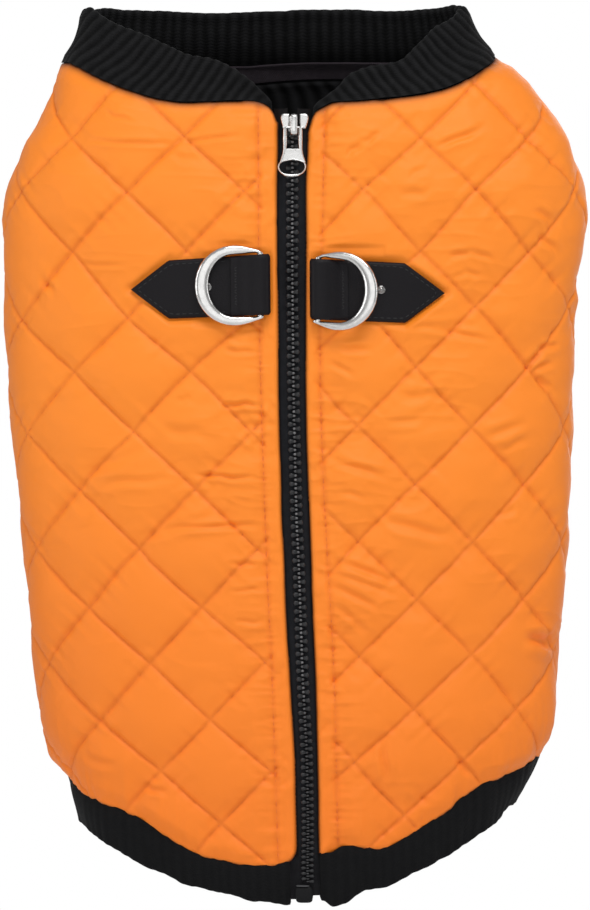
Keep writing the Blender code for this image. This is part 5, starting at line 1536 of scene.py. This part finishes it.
def sliderPiece():
    # two plates joined by a post, with cheeks that hold the pull's pin and a bridge over it
    parts = [plate(smoothOutline(slider[word][0]), *slider[word][1:]) for word in ("back", "front", "post")]
    for side in (-1, 1):
        for word in ("rail", "wing", "lobe"):
            outline, *sizes = slider[word]
            parts.append(plate(smoothOutline([(side * x, z) for x, z in outline][::side]), *sizes))
    steps = np.linspace(0, len(slider["bridge"]) - 1, 44)
    rows = [(k, *place) for k, place in enumerate(slider["bridge"])]
    bridge = np.stack([smoothCurve(steps, rows, column) for column in (1, 2)], axis=1)
    points, quads = tube(bridge, slider["bridgeThick"], slider["bridgeHalf"])
    parts.append((points[:, [1, 0, 2]] + (-0.25, 0, 0), quads[:, ::-1]))
    points, quads = joined(parts)
    where = standing(0, slider["height"], 0, upright=False)
    made = meshPiece("zipSliderBody", placed(points + (slider["across"], 0, 0), where), quads,
                     finishes["brightNickel"], "satin_nickel")
    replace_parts(made, "zip_slider")


pull = {
    # across and up from the pin: its ends, an arm with its width and depth, the plate and the ring
    "out": 4.7, "pin": [(-3.9, 0), (-2, 0), (0, 0), (2, 0), (4.2, 0)], "pinRadius": 0.42,
    "armAt": {-1: -3.0, 1: 3.3},
    "arm": [(0, 0.2, 0.55, 0.5), (0, -1, 0.77, 0.6), (0, -3, 0.81, 0.6), (0, -5, 0.81, 0.6),
            (0, -7, 0.78, 0.6), (0.1, -9, 0.66, 0.6), (0.45, -11, 0.58, 0.6), (1.1, -13, 0.52, 0.58),
            (1.8, -14.6, 0.35, 0.5)],
    "plate": [(0.2, -8.9), (2.7, -8.9), (3.9, -9.1), (4.15, -11.0), (4.6, -13.0), (5.2, -14.7),
              (4.2, -14.4), (2.4, -13.6), (0.1, -13.2), (-2.3, -13.6), (-4.1, -14.4), (-5.1, -14.7),
              (-4.5, -13.0), (-3.95, -11.0), (-3.65, -9.1), (-2.4, -8.9)],
    "ring": [(0.1, -13.3), (2.6, -13.7), (4.4, -14.3), (5.15, -15.1), (5.4, -16.4), (5.0, -17.8),
             (3.9, -19.0), (2.2, -19.8), (-0.3, -20.05), (-2.7, -19.8), (-4.3, -19.0), (-5.3, -17.8),
             (-5.7, -16.4), (-5.35, -15.1), (-4.4, -14.3), (-2.5, -13.7)],
    "plateHalf": 0.42, "ringHalf": 0.56, "ringWide": 0.33, "footWide": 0.25,
}


def pullPiece():
    # two arms from the pin down beside a plate, which widens to a ring with a flat foot
    parts = [tube(pull["pin"], pull["pinRadius"], pull["pinRadius"])]
    arm = np.array(pull["arm"])
    for side, middle in pull["armAt"].items():
        path = np.stack([middle + side * arm[:, 0], arm[:, 1]], axis=1)
        parts.append(tube(path, arm[:, 2], arm[:, 3]))
    parts.append(plate(smoothOutline(pull["plate"], 90), -pull["plateHalf"], pull["plateHalf"], 0.25))
    path = smoothOutline(pull["ring"], 96)
    wide = pull["ringWide"] + pull["footWide"] * eased(-path[:, 1], 19.2, 19.9)
    parts.append(tube(path, wide, pull["ringHalf"], closed=True))
    points, quads = joined(parts)
    where = standing(0, slider["height"], pull["out"], upright=False)
    made = meshPiece("zipPullTab", placed(points, where), quads, finishes["brightNickel"], "satin_nickel",
                     body="pull")
    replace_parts(made, "zip_pull")


for which in tabs:
    ringPiece(which)
sliderPiece()
pullPiece()
print("metal made")


studio = {"floorHeight": -0.78, "floorRadius": 3.0, "cameraFar": 10.0, "pixel": 0.41, "frameTall": 910,
          "middle": (0.0008, -0.1611), "around": 0.36}
# each light's place, what it points at, width and height in metres, and power
lights = {
    "overhead": ((0.35, -1.2, 1.6), (0, 0, -0.12), (1.1, 0.7), 24),
    "front": ((-0.2, -2.6, 0.15), (0, 0, -0.18), (2.2, 2.2), 14.8),
    "leftFill": ((-2.0, -0.9, 0.2), (0, 0, -0.18), (0.8, 1.6), 10.5),
    "rightFill": ((2.0, -0.8, 0.2), (0, 0, -0.18), (0.8, 1.6), 6),
    "behind": ((0.4, 2.4, 0.5), (0, 0, -0.18), (1.6, 1.6), 18),
}


def floorPiece():
    # a round pale floor that curls up a little at its rim
    radius = np.linspace(0.001, studio["floorRadius"], 24)
    turns = np.linspace(0, 2 * math.pi, 96, endpoint=False)
    rise = 0.05 * eased(radius, 2.6, 3.0)
    points = np.stack([radius[:, None] * np.cos(turns), radius[:, None] * np.sin(turns),
                       studio["floorHeight"] + rise[:, None] + 0 * turns], axis=-1)
    mesh = bpy.data.meshes.new("floor")
    mesh.from_pydata(points.reshape(-1, 3).tolist(), [], gridQuads(24, 96, wrapColumns=True).tolist())
    pale = Finish("paleFloor", (0.86, 0.86, 0.86), Roughness=0.7)
    pale.feed("Base Color", pale.mix(limited(pale.noise(6)), (0.85, 0.85, 0.85), (0.88, 0.88, 0.88)))
    mesh.materials.append(pale.made)
    floor = bpy.data.objects.new("floor", mesh)
    bpy.context.scene.collection.objects.link(floor)


def softLight(name, place, aim, size, power):
    lamp = bpy.data.lights.new(name, "AREA")
    lamp.shape, lamp.energy = "RECTANGLE", power
    lamp.size, lamp.size_y = size
    made = bpy.data.objects.new(name, lamp)
    made.location = place
    way = Vector(aim) - Vector(place)
    made.rotation_euler = way.to_track_quat("-Z", "Y").to_euler()
    bpy.context.scene.collection.objects.link(made)


def cameraPiece():
    lens = bpy.data.cameras.new("camera")
    lens.sensor_fit, lens.sensor_width = "AUTO", 36
    lens.lens = 36 * studio["cameraFar"] / (studio["pixel"] * mm * studio["frameTall"])
    lens.clip_start, lens.clip_end = 0.5, 60
    camera = bpy.data.objects.new("camera", lens)
    x, z = studio["middle"]
    camera.location = (x, -studio["cameraFar"], z)
    camera.rotation_euler = (math.pi / 2, 0, 0)
    bpy.context.scene.collection.objects.link(camera)
    bpy.context.scene.camera = camera


def paleWorld():
    # white where it is seen directly, and a dimmer soft light on everything else
    world = bpy.data.worlds.new("studio")
    world.use_nodes = True
    tree = world.node_tree
    seen = Wire(tree, tree.nodes.new("ShaderNodeLightPath").outputs["Is Camera Ray"])
    strength = seen * (1 - studio["around"]) + studio["around"]
    tree.nodes["Background"].inputs["Color"].default_value = (1, 1, 1, 1)
    tree.links.new(strength.socket, tree.nodes["Background"].inputs["Strength"])
    bpy.context.scene.world = world


floorPiece()
for name, values in lights.items():
    softLight(name, *values)
paleWorld()
bpy.context.scene.view_settings.view_transform = "Standard"
cameraPiece()
print("studio lit")
